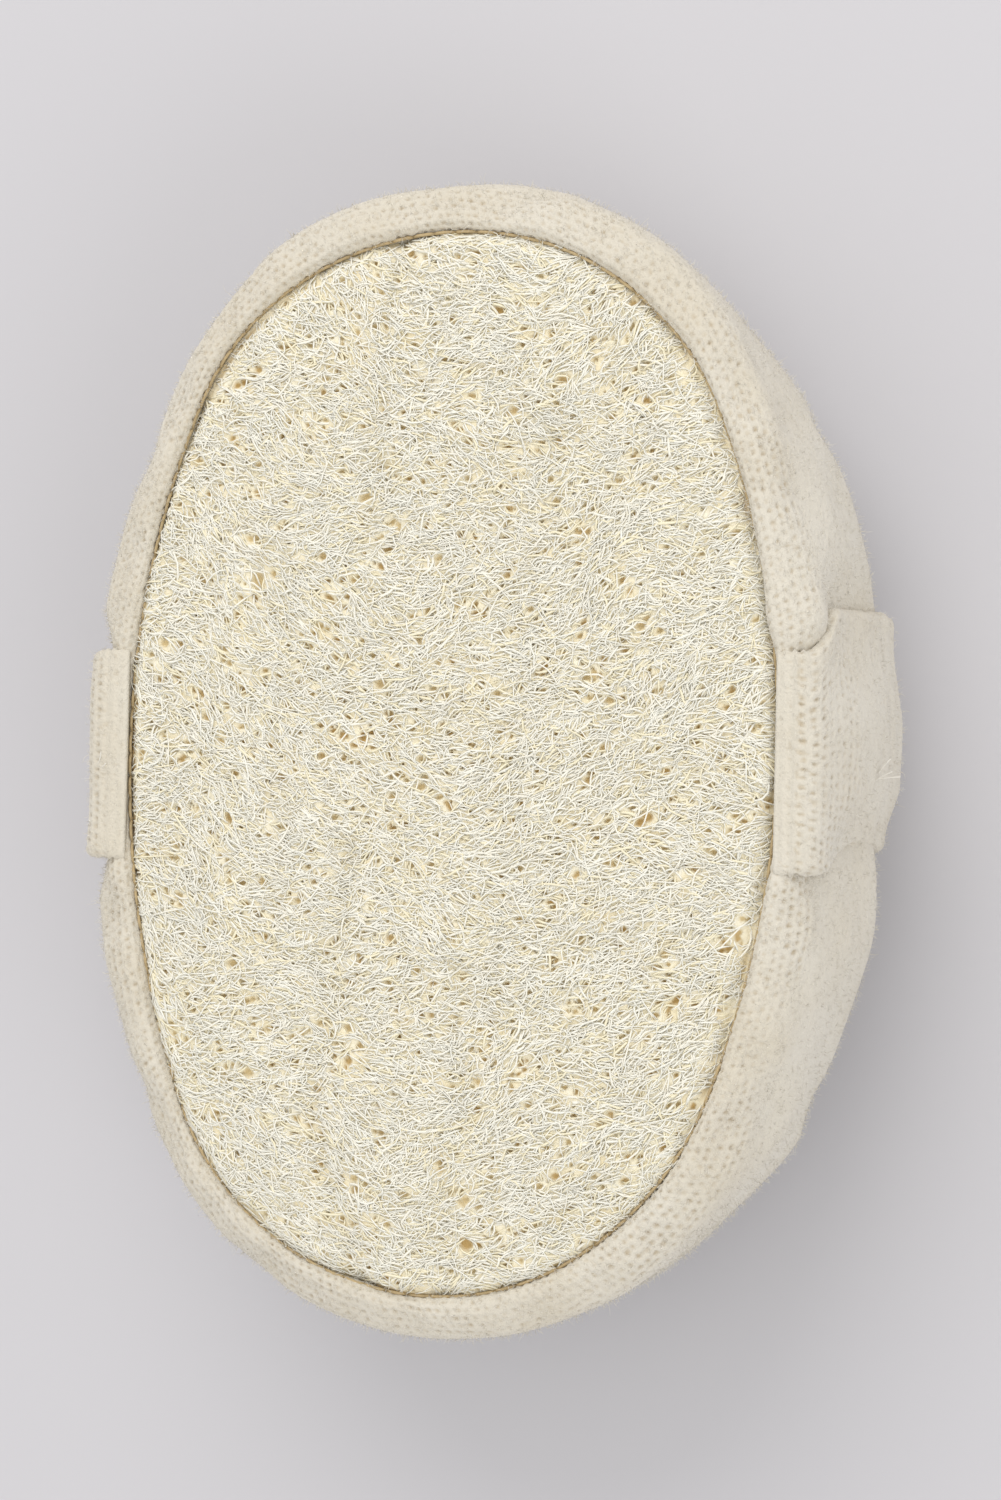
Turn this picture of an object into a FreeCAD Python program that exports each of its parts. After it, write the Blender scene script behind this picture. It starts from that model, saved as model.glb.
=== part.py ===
"""Oval loofah back scrubber with an elastic hand strap, as a parametric FreeCAD document.

The pad lies on its strap with the loofah face up. +X runs across the pad, along the strap, +Y runs
along the pad and +Z points out of the loofah face. The origin is under the middle of the pad, on the
surface that the strap rests on. Sizes are in millimetres.

The pad is a flattened loofah panel on a foam core. A terry strip, the side band, runs round the core
from the front seam to the back seam, and an oval terry panel closes the back. The strap is a terry
sleeve over a woven elastic. It is sewn into the front seam on both long sides and crosses the back,
where a hand goes between the strap and the back panel.
"""

import FreeCAD, Part
import math
import os
import Sketcher
from FreeCAD import Vector

DIMENSIONS = [
    # Levels above the surface that the strap rests on
    ("level_seam_front", 52.0, "Plane of the seam between loofah and side band"),
    ("level_rim", 50.0, "Side band where it turns over the front rim"),
    ("level_upper", 40.0, "Side band at its upper bulge"),
    ("level_lower", 26.0, "Side band at its widest"),
    ("level_seam_back", 16.0, "Plane of the seam between side band and back panel"),
    ("level_palm_edge", 13.7, "Back panel where it turns towards its flat middle"),
    ("level_back", 13.0, "Flat middle of the back panel"),
    ("level_core_top", 47.0, "Top of the foam core, where the loofah lies"),
    ("level_crown", 53.7, "Shoulder of the loofah's crown"),
    ("level_face", 55.0, "Flat middle of the loofah face"),
    # Ovals: half width, half length and radius of the end arcs
    ("face_half_width", 47.5, "Front seam"),
    ("face_half_length", 75.0, "Front seam"),
    ("face_end_radius", 41.0, "Front seam"),
    ("rim_bulge", 4.4, "Side band outside the seam line, at the rim"),
    ("upper_bulge", 6.4, "Side band inner wall outside the seam line, at the upper bulge"),
    ("lower_bulge", 7.9, "Side band inner wall outside the seam line, at its widest"),
    ("upper_end_bulge", 5.4, "Side band inner wall outside the seam line, at the ends of the upper bulge"),
    ("lower_end_bulge", 4.6, "Side band inner wall outside the seam line, at the ends of its widest oval"),
    ("end_growth", 1.4, "How much larger the end arcs are at both bulges than at the seam"),
    ("back_half_width", 48.0, "Inner line of the back seam"),
    ("back_half_length", 73.5, "Inner line of the back seam"),
    ("back_end_radius", 41.5, "Inner line of the back seam"),
    ("crown_inset", 5.0, "Crown shoulder inside the seam line"),
    ("flat_inset", 13.5, "Flat middle of the face inside the seam line"),
    ("palm_turn", 5.3, "Where the back panel turns, inside the back seam"),
    ("palm_inset", 16.0, "Flat middle of the back panel inside the back seam"),
    # Cloth and clearances
    ("cloth", 2.2, "Thickness of the terry cloth with its pile"),
    ("back_edge", 1.2, "Thickness of the back panel at its seam"),
    ("ease", 0.25, "Clearance between the core, the panels and the cloth"),
    # Strap
    ("strap_width", 35.0, "Width of the terry sleeve"),
    ("strap_thick", 3.6, "Thickness of the sleeve with the elastic in it"),
    ("pocket_width", 30.6, "Width of the space in the sleeve"),
    ("pocket_thick", 1.4, "Height of the space in the sleeve"),
    ("elastic_width", 30.0, "Width of the woven elastic"),
    ("elastic_thick", 1.1, "Thickness of the woven elastic"),
    ("strap_reach", 60.2, "Middle of the strap's thickness at the pad's side"),
    ("strap_over_rim", 12.0, "Radius of the strap over the front rim"),
    ("strap_corner", 14.0, "Radius of the strap round the back edge"),
    ("strap_arch", 220.0, "Radius of the strap across the back"),
    ("sleeve_seam_reach", 44.0, "How far the sleeve's seam reaches to each side across the back"),
    ("level_over_rim", 42.3, "Centre of the strap's turn over the rim"),
    # Thread
    ("thread_radius", 0.3, "Radius of the sewing thread"),
    ("stitch_length", 2.6, "Length of one stitch"),
    ("tack_stitches", 9, "Stitches in the row that holds down one end of the strap"),
    ("tack_row", 30.4, "Length of that row, from the middle of its first stitch to its last"),
    ("join_stitches", 4, "Stitches that close the side band into a ring"),
    ("join_row", 12.0, "Length of that row, from the middle of its first stitch to its last"),
    ("join_level", 27.0, "Level of the lowest of these stitches"),
]

doc = FreeCAD.newDocument("loofah_back_scrubber")
sheet = doc.addObject("Spreadsheet::Sheet", "dims")
for row, (alias, size, meaning) in enumerate(DIMENSIONS, start=1):
    sheet.set(f"A{row}", meaning)
    sheet.set(f"B{row}", str(size))
    sheet.setAlias(f"B{row}", alias)
doc.recompute()

H_AXIS, V_AXIS, ORIGIN = -1, -2, -1
START, END, CENTRE = 1, 2, 3


def number(expression):
    """The value of an expression over the sheet's cells."""
    return float(sheet.evalExpression(expression))


# ---------------------------------------------------------------- sketches


def new_body(label):
    body = doc.addObject("PartDesign::Body", label)
    body.Label = label
    return body


def new_sketch(body, name, plane, offset=None):
    """A sketch on one of the body's origin planes, raised by an expression along its normal."""
    sketch = body.newObject("Sketcher::SketchObject", name)
    found = [f for f in body.Origin.OriginFeatures if f.Role == plane]
    sketch.AttachmentSupport = [(found[0], "")]
    sketch.MapMode = "FlatFace"
    if offset:
        sketch.setExpression("AttachmentOffset.Base.z", offset)
    return sketch


def bind(sketch, kind, elements, expression):
    """A dimension of the sketch that follows an expression over the sheet's cells."""
    index = sketch.addConstraint(Sketcher.Constraint(kind, *elements, number(expression)))
    sketch.setExpression(f"Constraints[{index}]", expression)


def join(sketch, first, first_end, second, second_end, kind="Coincident"):
    sketch.addConstraint(Sketcher.Constraint(kind, first, first_end, second, second_end))


def arc(centre_x, centre_y, radius, first_angle, last_angle):
    circle = Part.Circle(Vector(centre_x, centre_y, 0), Vector(0, 0, 1), radius)
    return Part.ArcOfCircle(circle, first_angle, last_angle)


def side_radius(half_width, half_length, end_radius):
    """Expression for the radius of an oval's two long side arcs, which are tangent to its end arcs."""
    a, b, r = f"({half_width})", f"({half_length})", f"({end_radius})"
    return f"(({a}^2 + ({b} - {r})^2 - {r}^2) / (2 * ({a} - {r})))"


def oval_sketch(body, name, oval, level):
    """An oval of four tangent arcs, parallel to the XY plane at a level."""
    half_width, half_length, end_radius = oval
    side = side_radius(*oval)
    end_centre = f"({half_length}) - ({end_radius})"
    side_centre = f"{side} - ({half_width})"
    joint = f"({end_radius}) * ({side_centre}) / ({side} - ({end_radius}))"
    r, big, up, across = (number(x) for x in (end_radius, side, end_centre, side_centre))
    turn = math.atan2(up, across)

    sketch = new_sketch(body, name, "XY_Plane", level)
    right = sketch.addGeometry(arc(-across, 0, big, -turn, turn))
    top = sketch.addGeometry(arc(0, up, r, turn, math.pi - turn))
    left = sketch.addGeometry(arc(across, 0, big, math.pi - turn, math.pi + turn))
    bottom = sketch.addGeometry(arc(0, -up, r, math.pi + turn, 2 * math.pi - turn))

    for end_arc in (top, bottom):
        sketch.addConstraint(Sketcher.Constraint("PointOnObject", end_arc, CENTRE, V_AXIS))
        bind(sketch, "Radius", (end_arc,), end_radius)
    bind(sketch, "DistanceY", (ORIGIN, START, top, CENTRE), end_centre)
    bind(sketch, "DistanceY", (bottom, CENTRE, ORIGIN, START), end_centre)
    bind(sketch, "DistanceX", (ORIGIN, START, top, START), joint)
    bind(sketch, "DistanceX", (top, END, ORIGIN, START), joint)
    bind(sketch, "DistanceX", (bottom, START, ORIGIN, START), joint)
    bind(sketch, "DistanceX", (ORIGIN, START, bottom, END), joint)
    join(sketch, right, START, bottom, END)
    join(sketch, right, END, top, START)
    join(sketch, left, START, top, END)
    join(sketch, left, END, bottom, START)
    bind(sketch, "DistanceX", (right, CENTRE, ORIGIN, START), side_centre)
    bind(sketch, "DistanceX", (ORIGIN, START, left, CENTRE), side_centre)
    return sketch


def grown(oval, by, lengthways=None, at_ends=None):
    """The oval, larger by an expression. Its length and its end arcs may grow by expressions of their own."""
    half_width, half_length, end_radius = oval
    return (
        f"{half_width} + {by}",
        f"{half_length} + {lengthways or by}",
        f"{end_radius} + {at_ends or by}",
    )


def shrunk(oval, by):
    half_width, half_length, end_radius = oval
    return (f"{half_width} - ({by})", f"{half_length} - ({by})", f"{end_radius} - ({by})")


FACE = ("dims.face_half_width", "dims.face_half_length", "dims.face_end_radius")
BACK = ("dims.back_half_width", "dims.back_half_length", "dims.back_end_radius")
BULGES = [
    # The side band's inner wall from the front seam to the back seam: name, oval, level
    ("front", FACE, "dims.level_seam_front"),
    ("rim", grown(FACE, "dims.rim_bulge"), "dims.level_rim"),
    (
        "upper",
        grown(FACE, "dims.upper_bulge", "dims.upper_end_bulge", "dims.end_growth"),
        "dims.level_upper",
    ),
    (
        "lower",
        grown(FACE, "dims.lower_bulge", "dims.lower_end_bulge", "dims.end_growth"),
        "dims.level_lower",
    ),
    ("back", BACK, "dims.level_seam_back"),
]


def loft(body, kind, sketches):
    feature = body.newObject(f"PartDesign::{kind}Loft", f"{body.Name}_{kind.lower()}_loft")
    feature.Profile = sketches[0]
    feature.Sections = sketches[1:]
    return feature


def wall_sketches(body, name, outward):
    """The side band's inner sections, moved outward by an expression, from the front seam to the back."""
    return [
        oval_sketch(body, f"{body.Name}_{name}_{place}", grown(oval, outward), level)
        for place, oval, level in BULGES
    ]


# ---------------------------------------------------------------- pad


def make_side_band():
    """The terry strip: a bulging ring, open at the front seam and the back seam."""
    body = new_body("terry_side_band")
    loft(body, "Additive", wall_sketches(body, "outer", "dims.cloth"))
    loft(body, "Subtractive", wall_sketches(body, "inner", "0"))
    return body


def make_foam_core():
    """The foam, a little smaller than the space in the side band, cut level where the loofah lies on it."""
    body = new_body("foam_core")
    loft(body, "Additive", wall_sketches(body, "wall", "-dims.ease"))
    level_cut = body.newObject("PartDesign::Pocket", "core_level_cut")
    level_cut.Profile = oval_sketch(body, "core_top", grown(FACE, "dims.lower_bulge"), "dims.level_core_top")
    level_cut.setExpression("Length", "dims.level_seam_front - dims.level_core_top")
    level_cut.Reversed = True
    return body


def make_loofah_face():
    """The flattened loofah: a thick oval sheet whose upper side rises to a flat middle."""
    body = new_body("loofah_face")
    edge = shrunk(FACE, "dims.ease")
    foot = oval_sketch(body, "loofah_foot", edge, "dims.level_core_top")
    sheet_pad = body.newObject("PartDesign::Pad", "loofah_sheet")
    sheet_pad.Profile = foot
    sheet_pad.setExpression("Length", "dims.level_seam_front - dims.level_core_top")
    crown = [
        oval_sketch(body, "crown_edge", edge, "dims.level_seam_front"),
        oval_sketch(body, "crown_shoulder", shrunk(FACE, "dims.crown_inset"), "dims.level_crown"),
        oval_sketch(body, "crown_flat", shrunk(FACE, "dims.flat_inset"), "dims.level_face"),
    ]
    loft(body, "Additive", crown)
    return body


def make_back_panel():
    """The oval terry panel that closes the back, bulging to a flat middle where the palm lies."""
    body = new_body("terry_back_panel")
    outer = grown(BACK, "dims.cloth")
    edge = oval_sketch(body, "panel_edge", outer, "dims.level_seam_back")
    rim = body.newObject("PartDesign::Pad", "panel_rim")
    rim.Profile = edge
    rim.Reversed = True
    rim.setExpression("Length", "dims.back_edge")
    bulge = [
        oval_sketch(body, "panel_bulge_edge", outer, "dims.level_seam_back - dims.back_edge"),
        oval_sketch(
            body,
            "panel_bulge_turn",
            shrunk(BACK, "dims.palm_turn"),
            "dims.level_palm_edge",
        ),
        oval_sketch(body, "panel_bulge_flat", shrunk(BACK, "dims.palm_inset"), "dims.level_back"),
    ]
    loft(body, "Additive", bulge)
    return body


# ---------------------------------------------------------------- strap

RIM_END = "dims.strap_reach - dims.strap_over_rim"
OVER_RIM = "dims.level_over_rim + dims.strap_over_rim"
ARCH_CENTRE = "dims.strap_arch + dims.strap_thick / 2"


def corner_centre():
    """(x, z) of the strap's turn round the back edge, tangent to its side run and to its arch."""
    x = number("dims.strap_reach - dims.strap_corner")
    reach = number("dims.strap_arch - dims.strap_corner")
    return x, number(ARCH_CENTRE) - math.sqrt(reach**2 - x**2)


def strap_path(body, name):
    """The strap's line in the XZ plane: over the rim, down the side, under the back and up again."""
    side, rim, turn_r, arch = (
        number(f"dims.{cell}") for cell in ("strap_reach", "strap_over_rim", "strap_corner", "strap_arch")
    )
    rim_z, arch_z = number("dims.level_over_rim"), number(ARCH_CENTRE)
    corner_x, corner_z = corner_centre()
    slope = math.atan2(corner_z - arch_z, corner_x)

    sketch = new_sketch(body, name, "XZ_Plane")
    rim_right = sketch.addGeometry(arc(side - rim, rim_z, rim, 0, math.pi / 2))
    run_right = sketch.addGeometry(Part.LineSegment(Vector(side, rim_z, 0), Vector(side, corner_z, 0)))
    turn_right = sketch.addGeometry(arc(corner_x, corner_z, turn_r, slope, 0))
    across = sketch.addGeometry(arc(0, arch_z, arch, math.pi - slope - 2 * math.pi, slope))
    turn_left = sketch.addGeometry(arc(-corner_x, corner_z, turn_r, math.pi, math.pi - slope))
    run_left = sketch.addGeometry(Part.LineSegment(Vector(-side, corner_z, 0), Vector(-side, rim_z, 0)))
    rim_left = sketch.addGeometry(arc(rim - side, rim_z, rim, math.pi / 2, math.pi))

    join(sketch, rim_right, START, run_right, START, "Tangent")
    join(sketch, run_right, END, turn_right, END, "Tangent")
    join(sketch, turn_right, START, across, END, "Tangent")
    join(sketch, across, START, turn_left, END, "Tangent")
    join(sketch, turn_left, START, run_left, START, "Tangent")
    join(sketch, run_left, END, rim_left, END, "Tangent")
    for run in (run_right, run_left):
        sketch.addConstraint(Sketcher.Constraint("Vertical", run))
    for turn in (turn_right, turn_left):
        bind(sketch, "Radius", (turn,), "dims.strap_corner")
    for over in (rim_right, rim_left):
        bind(sketch, "Radius", (over,), "dims.strap_over_rim")
        bind(sketch, "DistanceY", (ORIGIN, START, over, CENTRE), "dims.level_over_rim")
    bind(sketch, "Radius", (across,), "dims.strap_arch")
    sketch.addConstraint(Sketcher.Constraint("PointOnObject", across, CENTRE, V_AXIS))
    bind(sketch, "DistanceY", (ORIGIN, START, across, CENTRE), ARCH_CENTRE)
    bind(sketch, "DistanceX", (ORIGIN, START, run_right, START), "dims.strap_reach")
    bind(sketch, "DistanceX", (run_left, END, ORIGIN, START), "dims.strap_reach")
    bind(sketch, "DistanceX", (ORIGIN, START, rim_right, END), RIM_END)
    bind(sketch, "DistanceX", (rim_left, START, ORIGIN, START), RIM_END)
    return sketch


def strap_section(body, name, width, thick):
    """A flat section with round edges, across the strap's line where it ends at the right seam."""
    sketch = new_sketch(body, name, "YZ_Plane", RIM_END)
    radius, middle = number(f"{thick} / 2"), number(OVER_RIM)
    edge = number(f"({width} - {thick}) / 2")
    right = sketch.addGeometry(arc(edge, middle, radius, -math.pi / 2, math.pi / 2))
    left = sketch.addGeometry(arc(-edge, middle, radius, math.pi / 2, 3 * math.pi / 2))
    above, below = Vector(0, radius, 0), Vector(0, -radius, 0)
    at_right, at_left = Vector(edge, middle, 0), Vector(-edge, middle, 0)
    top = sketch.addGeometry(Part.LineSegment(at_right + above, at_left + above))
    bottom = sketch.addGeometry(Part.LineSegment(at_left + below, at_right + below))

    for end_arc in (right, left):
        bind(sketch, "Radius", (end_arc,), f"{thick} / 2")
        bind(sketch, "DistanceY", (ORIGIN, START, end_arc, CENTRE), OVER_RIM)
        for point in (START, END):
            join(sketch, end_arc, point, end_arc, CENTRE, "Vertical")
    bind(sketch, "DistanceX", (ORIGIN, START, right, CENTRE), f"({width} - {thick}) / 2")
    bind(sketch, "DistanceX", (left, CENTRE, ORIGIN, START), f"({width} - {thick}) / 2")
    join(sketch, top, START, right, END)
    join(sketch, top, END, left, START)
    join(sketch, bottom, START, left, END)
    join(sketch, bottom, END, right, START)
    return sketch


def pipe(body, kind, section, path):
    feature = body.newObject(f"PartDesign::{kind}Pipe", f"{body.Name}_{kind.lower()}_pipe")
    feature.Profile = section
    feature.Spine = path
    return feature


def make_strap_sleeve():
    """The terry tube, sewn flat, open at both ends."""
    body = new_body("strap_sleeve")
    path = strap_path(body, "sleeve_path")
    outside = strap_section(body, "sleeve_outside", "dims.strap_width", "dims.strap_thick")
    pipe(body, "Additive", outside, path)
    pocket_path = strap_path(body, "pocket_path")
    inside = strap_section(body, "sleeve_pocket", "dims.pocket_width", "dims.pocket_thick")
    pipe(body, "Subtractive", inside, pocket_path)
    return body


def make_strap_elastic():
    """The woven elastic band that runs through the sleeve."""
    body = new_body("strap_elastic")
    path = strap_path(body, "elastic_path")
    section = strap_section(body, "elastic_section", "dims.elastic_width", "dims.elastic_thick")
    pipe(body, "Additive", section, path)
    return body


# ---------------------------------------------------------------- thread


def thread_section(body, name, plane, offset, across, up):
    """The thread's round section on a plane, at two distances from the body's origin."""
    sketch = new_sketch(body, name, plane, offset)
    middle = Vector(number(across), number(up), 0)
    circle = sketch.addGeometry(Part.Circle(middle, Vector(0, 0, 1), number("dims.thread_radius")))
    bind(sketch, "Radius", (circle,), "dims.thread_radius")
    if number(across) == 0:
        sketch.addConstraint(Sketcher.Constraint("PointOnObject", circle, CENTRE, V_AXIS))
    else:
        bind(sketch, "DistanceX", (ORIGIN, START, circle, CENTRE), across)
    bind(sketch, "DistanceY", (ORIGIN, START, circle, CENTRE), up)
    return sketch


def make_seam_thread(label, oval, level):
    """The thread of one seam: a closed run along the line where two cloths meet."""
    body = new_body(label)
    path = oval_sketch(body, f"{label}_path", oval, level)
    section = thread_section(body, f"{label}_section", "XZ_Plane", None, oval[0], level)
    pipe(body, "Additive", section, path)
    return body


def stitch_row(body, section, direction, count, length):
    """Pads one stitch from its section and repeats it along an axis of that section."""
    first = body.newObject("PartDesign::Pad", f"{body.Name}_stitch")
    first.Profile = section
    first.setExpression("Length", "dims.stitch_length")
    first.Midplane = True
    row = body.newObject("PartDesign::LinearPattern", f"{body.Name}_row")
    row.Originals = [first]
    row.Direction = (section, [direction])
    row.setExpression("Length", length)
    row.setExpression("Occurrences", count)
    body.Tip = row


def make_band_join_thread():
    """Closes the terry strip into a ring, on the left side where the strap hides it."""
    body = new_body("band_join_thread")
    wall = "dims.face_half_width + dims.lower_bulge + dims.cloth - dims.thread_radius"
    section = thread_section(body, "join_section", "XY_Plane", "dims.join_level", f"-({wall})", "0")
    stitch_row(body, section, "N_Axis", "dims.join_stitches", "dims.join_row")
    return body


def make_strap_tack(label, side):
    """The extra row that holds the strap's end down beside the front seam. side is 1 or -1."""
    body = new_body(label)
    line = f"{side} * ({RIM_END} + dims.face_half_width - dims.ease) / 2"
    section = thread_section(
        body,
        f"{label}_section",
        "XZ_Plane",
        "-dims.tack_row / 2",
        line,
        "dims.level_seam_front + dims.thread_radius / 2",
    )
    stitch_row(body, section, "N_Axis", "dims.tack_stitches", "dims.tack_row")
    return body


def make_sleeve_thread():
    """Closes the sleeve along one long edge, across the back."""
    body = new_body("strap_sleeve_thread")
    edge = "dims.pocket_width / 2 + (dims.strap_width - dims.pocket_width) / 4"
    radius = "dims.strap_arch - dims.strap_thick / 2"
    swing = math.asin(number("dims.sleeve_seam_reach") / number(radius))
    path = new_sketch(body, "sleeve_seam_path", "XZ_Plane", edge)
    across = path.addGeometry(
        arc(0, number(ARCH_CENTRE), number(radius), -math.pi / 2 - swing, swing - math.pi / 2)
    )
    bind(path, "Radius", (across,), radius)
    path.addConstraint(Sketcher.Constraint("PointOnObject", across, CENTRE, V_AXIS))
    bind(path, "DistanceY", (ORIGIN, START, across, CENTRE), ARCH_CENTRE)
    for point in (START, END):
        sign = -1 if point == START else 1
        bind(path, "DistanceX", (ORIGIN, START, across, point), f"{sign} * dims.sleeve_seam_reach")
    section = thread_section(
        body, "sleeve_seam_section", "YZ_Plane", None, f"-({edge})", f"{ARCH_CENTRE} - ({radius})"
    )
    pipe(body, "Additive", section, path)
    return body


# ---------------------------------------------------------------- build and export

pieces = [
    make_loofah_face(),
    make_foam_core(),
    make_side_band(),
    make_back_panel(),
    make_strap_sleeve(),
    make_strap_elastic(),
    make_seam_thread("front_seam_thread", FACE, "dims.level_seam_front"),
    make_seam_thread("back_seam_thread", grown(BACK, "dims.cloth"), "dims.level_seam_back"),
    make_band_join_thread(),
    make_strap_tack("strap_tack_right", 1),
    make_strap_tack("strap_tack_left", -1),
    make_sleeve_thread(),
]
doc.recompute()

failed = [o.Name for o in doc.Objects if {"Invalid", "Error"} & set(o.State)]
if failed:
    raise RuntimeError(f"these objects failed: {failed}")
for piece in pieces:
    if piece.Shape.isNull() or not piece.Shape.isValid() or not piece.Shape.Solids:
        raise RuntimeError(f"{piece.Label} has no valid solid")

os.makedirs("parts", exist_ok=True)
for piece in pieces:
    piece.Shape.exportStep(os.path.join("parts", f"{piece.Label}.step"))
    box = piece.Shape.BoundBox
    print(
        f"{piece.Label}: {len(piece.Shape.Solids)} solids, {piece.Shape.Volume / 1000:.2f} cm3, "
        f"{box.XLength:.1f} x {box.YLength:.1f} x {box.ZLength:.1f} mm, from z {box.ZMin:.1f}"
    )
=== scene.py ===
"""Oval loofah hand scrubber with a terry cloth side and back and an elastic hand strap.

Every length is in metres, in the frame of the CAD model: +X across the pad, +Y along it, +Z out of
the loofah face, and z = 0 where the strap rests. The pad's outline is one four-arc oval, the front
seam. A place on the cloth is given by the distance along that seam, how far it stands out from it
and its height.
"""

import math

import bpy
import numpy as np
from mathutils import Matrix, Vector


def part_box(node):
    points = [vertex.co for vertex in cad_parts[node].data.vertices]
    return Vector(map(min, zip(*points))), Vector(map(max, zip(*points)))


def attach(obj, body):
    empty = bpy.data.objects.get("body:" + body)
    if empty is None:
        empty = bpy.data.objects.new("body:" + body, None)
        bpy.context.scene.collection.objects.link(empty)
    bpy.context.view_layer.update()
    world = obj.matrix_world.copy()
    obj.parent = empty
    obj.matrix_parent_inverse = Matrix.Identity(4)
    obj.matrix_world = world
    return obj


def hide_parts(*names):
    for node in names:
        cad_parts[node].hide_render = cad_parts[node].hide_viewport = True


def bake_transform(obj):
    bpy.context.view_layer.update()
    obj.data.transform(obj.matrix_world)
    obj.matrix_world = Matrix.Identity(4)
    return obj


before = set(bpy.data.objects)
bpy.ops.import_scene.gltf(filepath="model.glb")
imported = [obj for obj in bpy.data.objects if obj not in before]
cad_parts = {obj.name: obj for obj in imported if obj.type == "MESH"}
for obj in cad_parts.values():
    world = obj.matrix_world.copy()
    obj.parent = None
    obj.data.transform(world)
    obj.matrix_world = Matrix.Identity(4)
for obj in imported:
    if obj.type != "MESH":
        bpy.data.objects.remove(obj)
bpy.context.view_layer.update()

MM = 0.001
UP = (0, 0, 1.0)


# -------- sizes read from the CAD model


def box(node):
    """The low and high corners of a CAD node."""
    low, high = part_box(node)
    return np.array(low), np.array(high)


seam_low, seam_high = box("front_seam_thread")
THREAD = (seam_high[2] - seam_low[2]) / 2  # radius of the seams' thread
SEAM_Z = (seam_high[2] + seam_low[2]) / 2
FACE_TOP = box("loofah_face")[1][2]
BAND_WIDEST = box("terry_side_band")[1][0]
PALM_Z = box("terry_back_panel")[0][2]
BACK_SEAM_Z = box("back_seam_thread")[0][2] + THREAD
strap_low, strap_high = box("strap_sleeve")
STRAP_WIDTH = strap_high[1] - strap_low[1]

SEAM_HALF_WIDTH = seam_high[0] - THREAD
SEAM_HALF_LENGTH = seam_high[1] - THREAD
END_RADIUS = 0.863 * SEAM_HALF_WIDTH  # of the oval's two ends
BULGE = BAND_WIDEST - SEAM_HALF_WIDTH
RIM_OUT = 0.62 * BULGE  # how far the cloth's rim stands out from the front seam
back_low, back_high = box("back_seam_thread")
BACK_OUT = back_high[0] - SEAM_HALF_WIDTH
BACK_END_OUT = back_high[1] - SEAM_HALF_LENGTH


# -------- noise


def lattice(ix, iy, seed):
    """A repeatable number from 0 to 1 for each whole-numbered cell, from a common integer hash."""
    a = (ix.astype(np.int64) * 374761393 + iy.astype(np.int64) * 668265263 + seed * 974711) & 0xFFFFFFFF
    a = ((a ^ (a >> 13)) * 1274126177) & 0xFFFFFFFF
    a = ((a ^ (a >> 16)) * 2246822519) & 0xFFFFFFFF
    return (a ^ (a >> 15)) / 0xFFFFFFFF


def smooth(t):
    """A smooth step that rises from 0 to 1 as t does."""
    t = np.clip(t, 0, 1)
    return t * t * (3 - 2 * t)


def hump(value, middle, width):
    """A smooth hump: 1 in its middle and close to 0 at twice its width."""
    return np.exp(-(((value - middle) / width) ** 2))


def noise(x, y, size, seed):
    """Smooth noise from -1 to 1 whose features are about size across."""
    x, y = np.asarray(x) / size, np.asarray(y) / size
    ix, iy = np.floor(x), np.floor(y)
    fx, fy = smooth(x - ix), smooth(y - iy)
    low = lattice(ix, iy, seed) * (1 - fx) + lattice(ix + 1, iy, seed) * fx
    high = lattice(ix, iy + 1, seed) * (1 - fx) + lattice(ix + 1, iy + 1, seed) * fx
    return 2 * (low * (1 - fy) + high * fy) - 1


LOOP_RADIUS = 0.72  # of a terry loop, in pitches


def loops(u, v, pitch, jitter, seed):
    """Terry loops as domes: 0 in the hollow between them, 1 on top. jitter shifts them off their grid."""
    cu, cv = np.floor(u / pitch), np.floor(v / pitch)
    nearest = np.full(np.broadcast(u, v).shape, 9.0)
    for du in (-1, 0, 1):
        for dv in (-1, 0, 1):
            iu, iv = cu + du, cv + dv
            x = (iu + 0.5 + jitter * (lattice(iu, iv, seed) - 0.5)) * pitch
            y = (iv + 0.5 + jitter * (lattice(iu, iv, seed + 1) - 0.5)) * pitch
            nearest = np.minimum(nearest, np.hypot(u - x, v - y) / pitch)
    return np.sqrt(np.clip(1 - (nearest / LOOP_RADIUS) ** 2, 0, 1))


def knit_holes(along, across, pitch, row_pitch, seed):
    """The small pits of a knit's border, staggered from row to row: 1 in a pit's middle, 0 between pits."""
    row = np.floor(across / row_pitch)
    deepest = np.zeros(np.broadcast(along, across).shape)
    for next_row in (-1, 0, 1):
        this_row = row + next_row
        shifted = along / pitch + 0.5 * np.mod(this_row, 2)
        cell = np.floor(shifted)
        x = cell + 0.5 + 0.3 * (lattice(cell, this_row, seed) - 0.5)
        y = this_row + 0.5 + 0.25 * (lattice(cell, this_row, seed + 1) - 0.5)
        size = 0.65 + 0.5 * lattice(cell, this_row, seed + 2)
        far_x, far_y = (shifted - x) / 0.26, (across / row_pitch - y) / 0.27
        deepest = np.maximum(deepest, size * np.exp(-(far_x**2) - far_y**2))
    return deepest


# -------- the pad's outline


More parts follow.
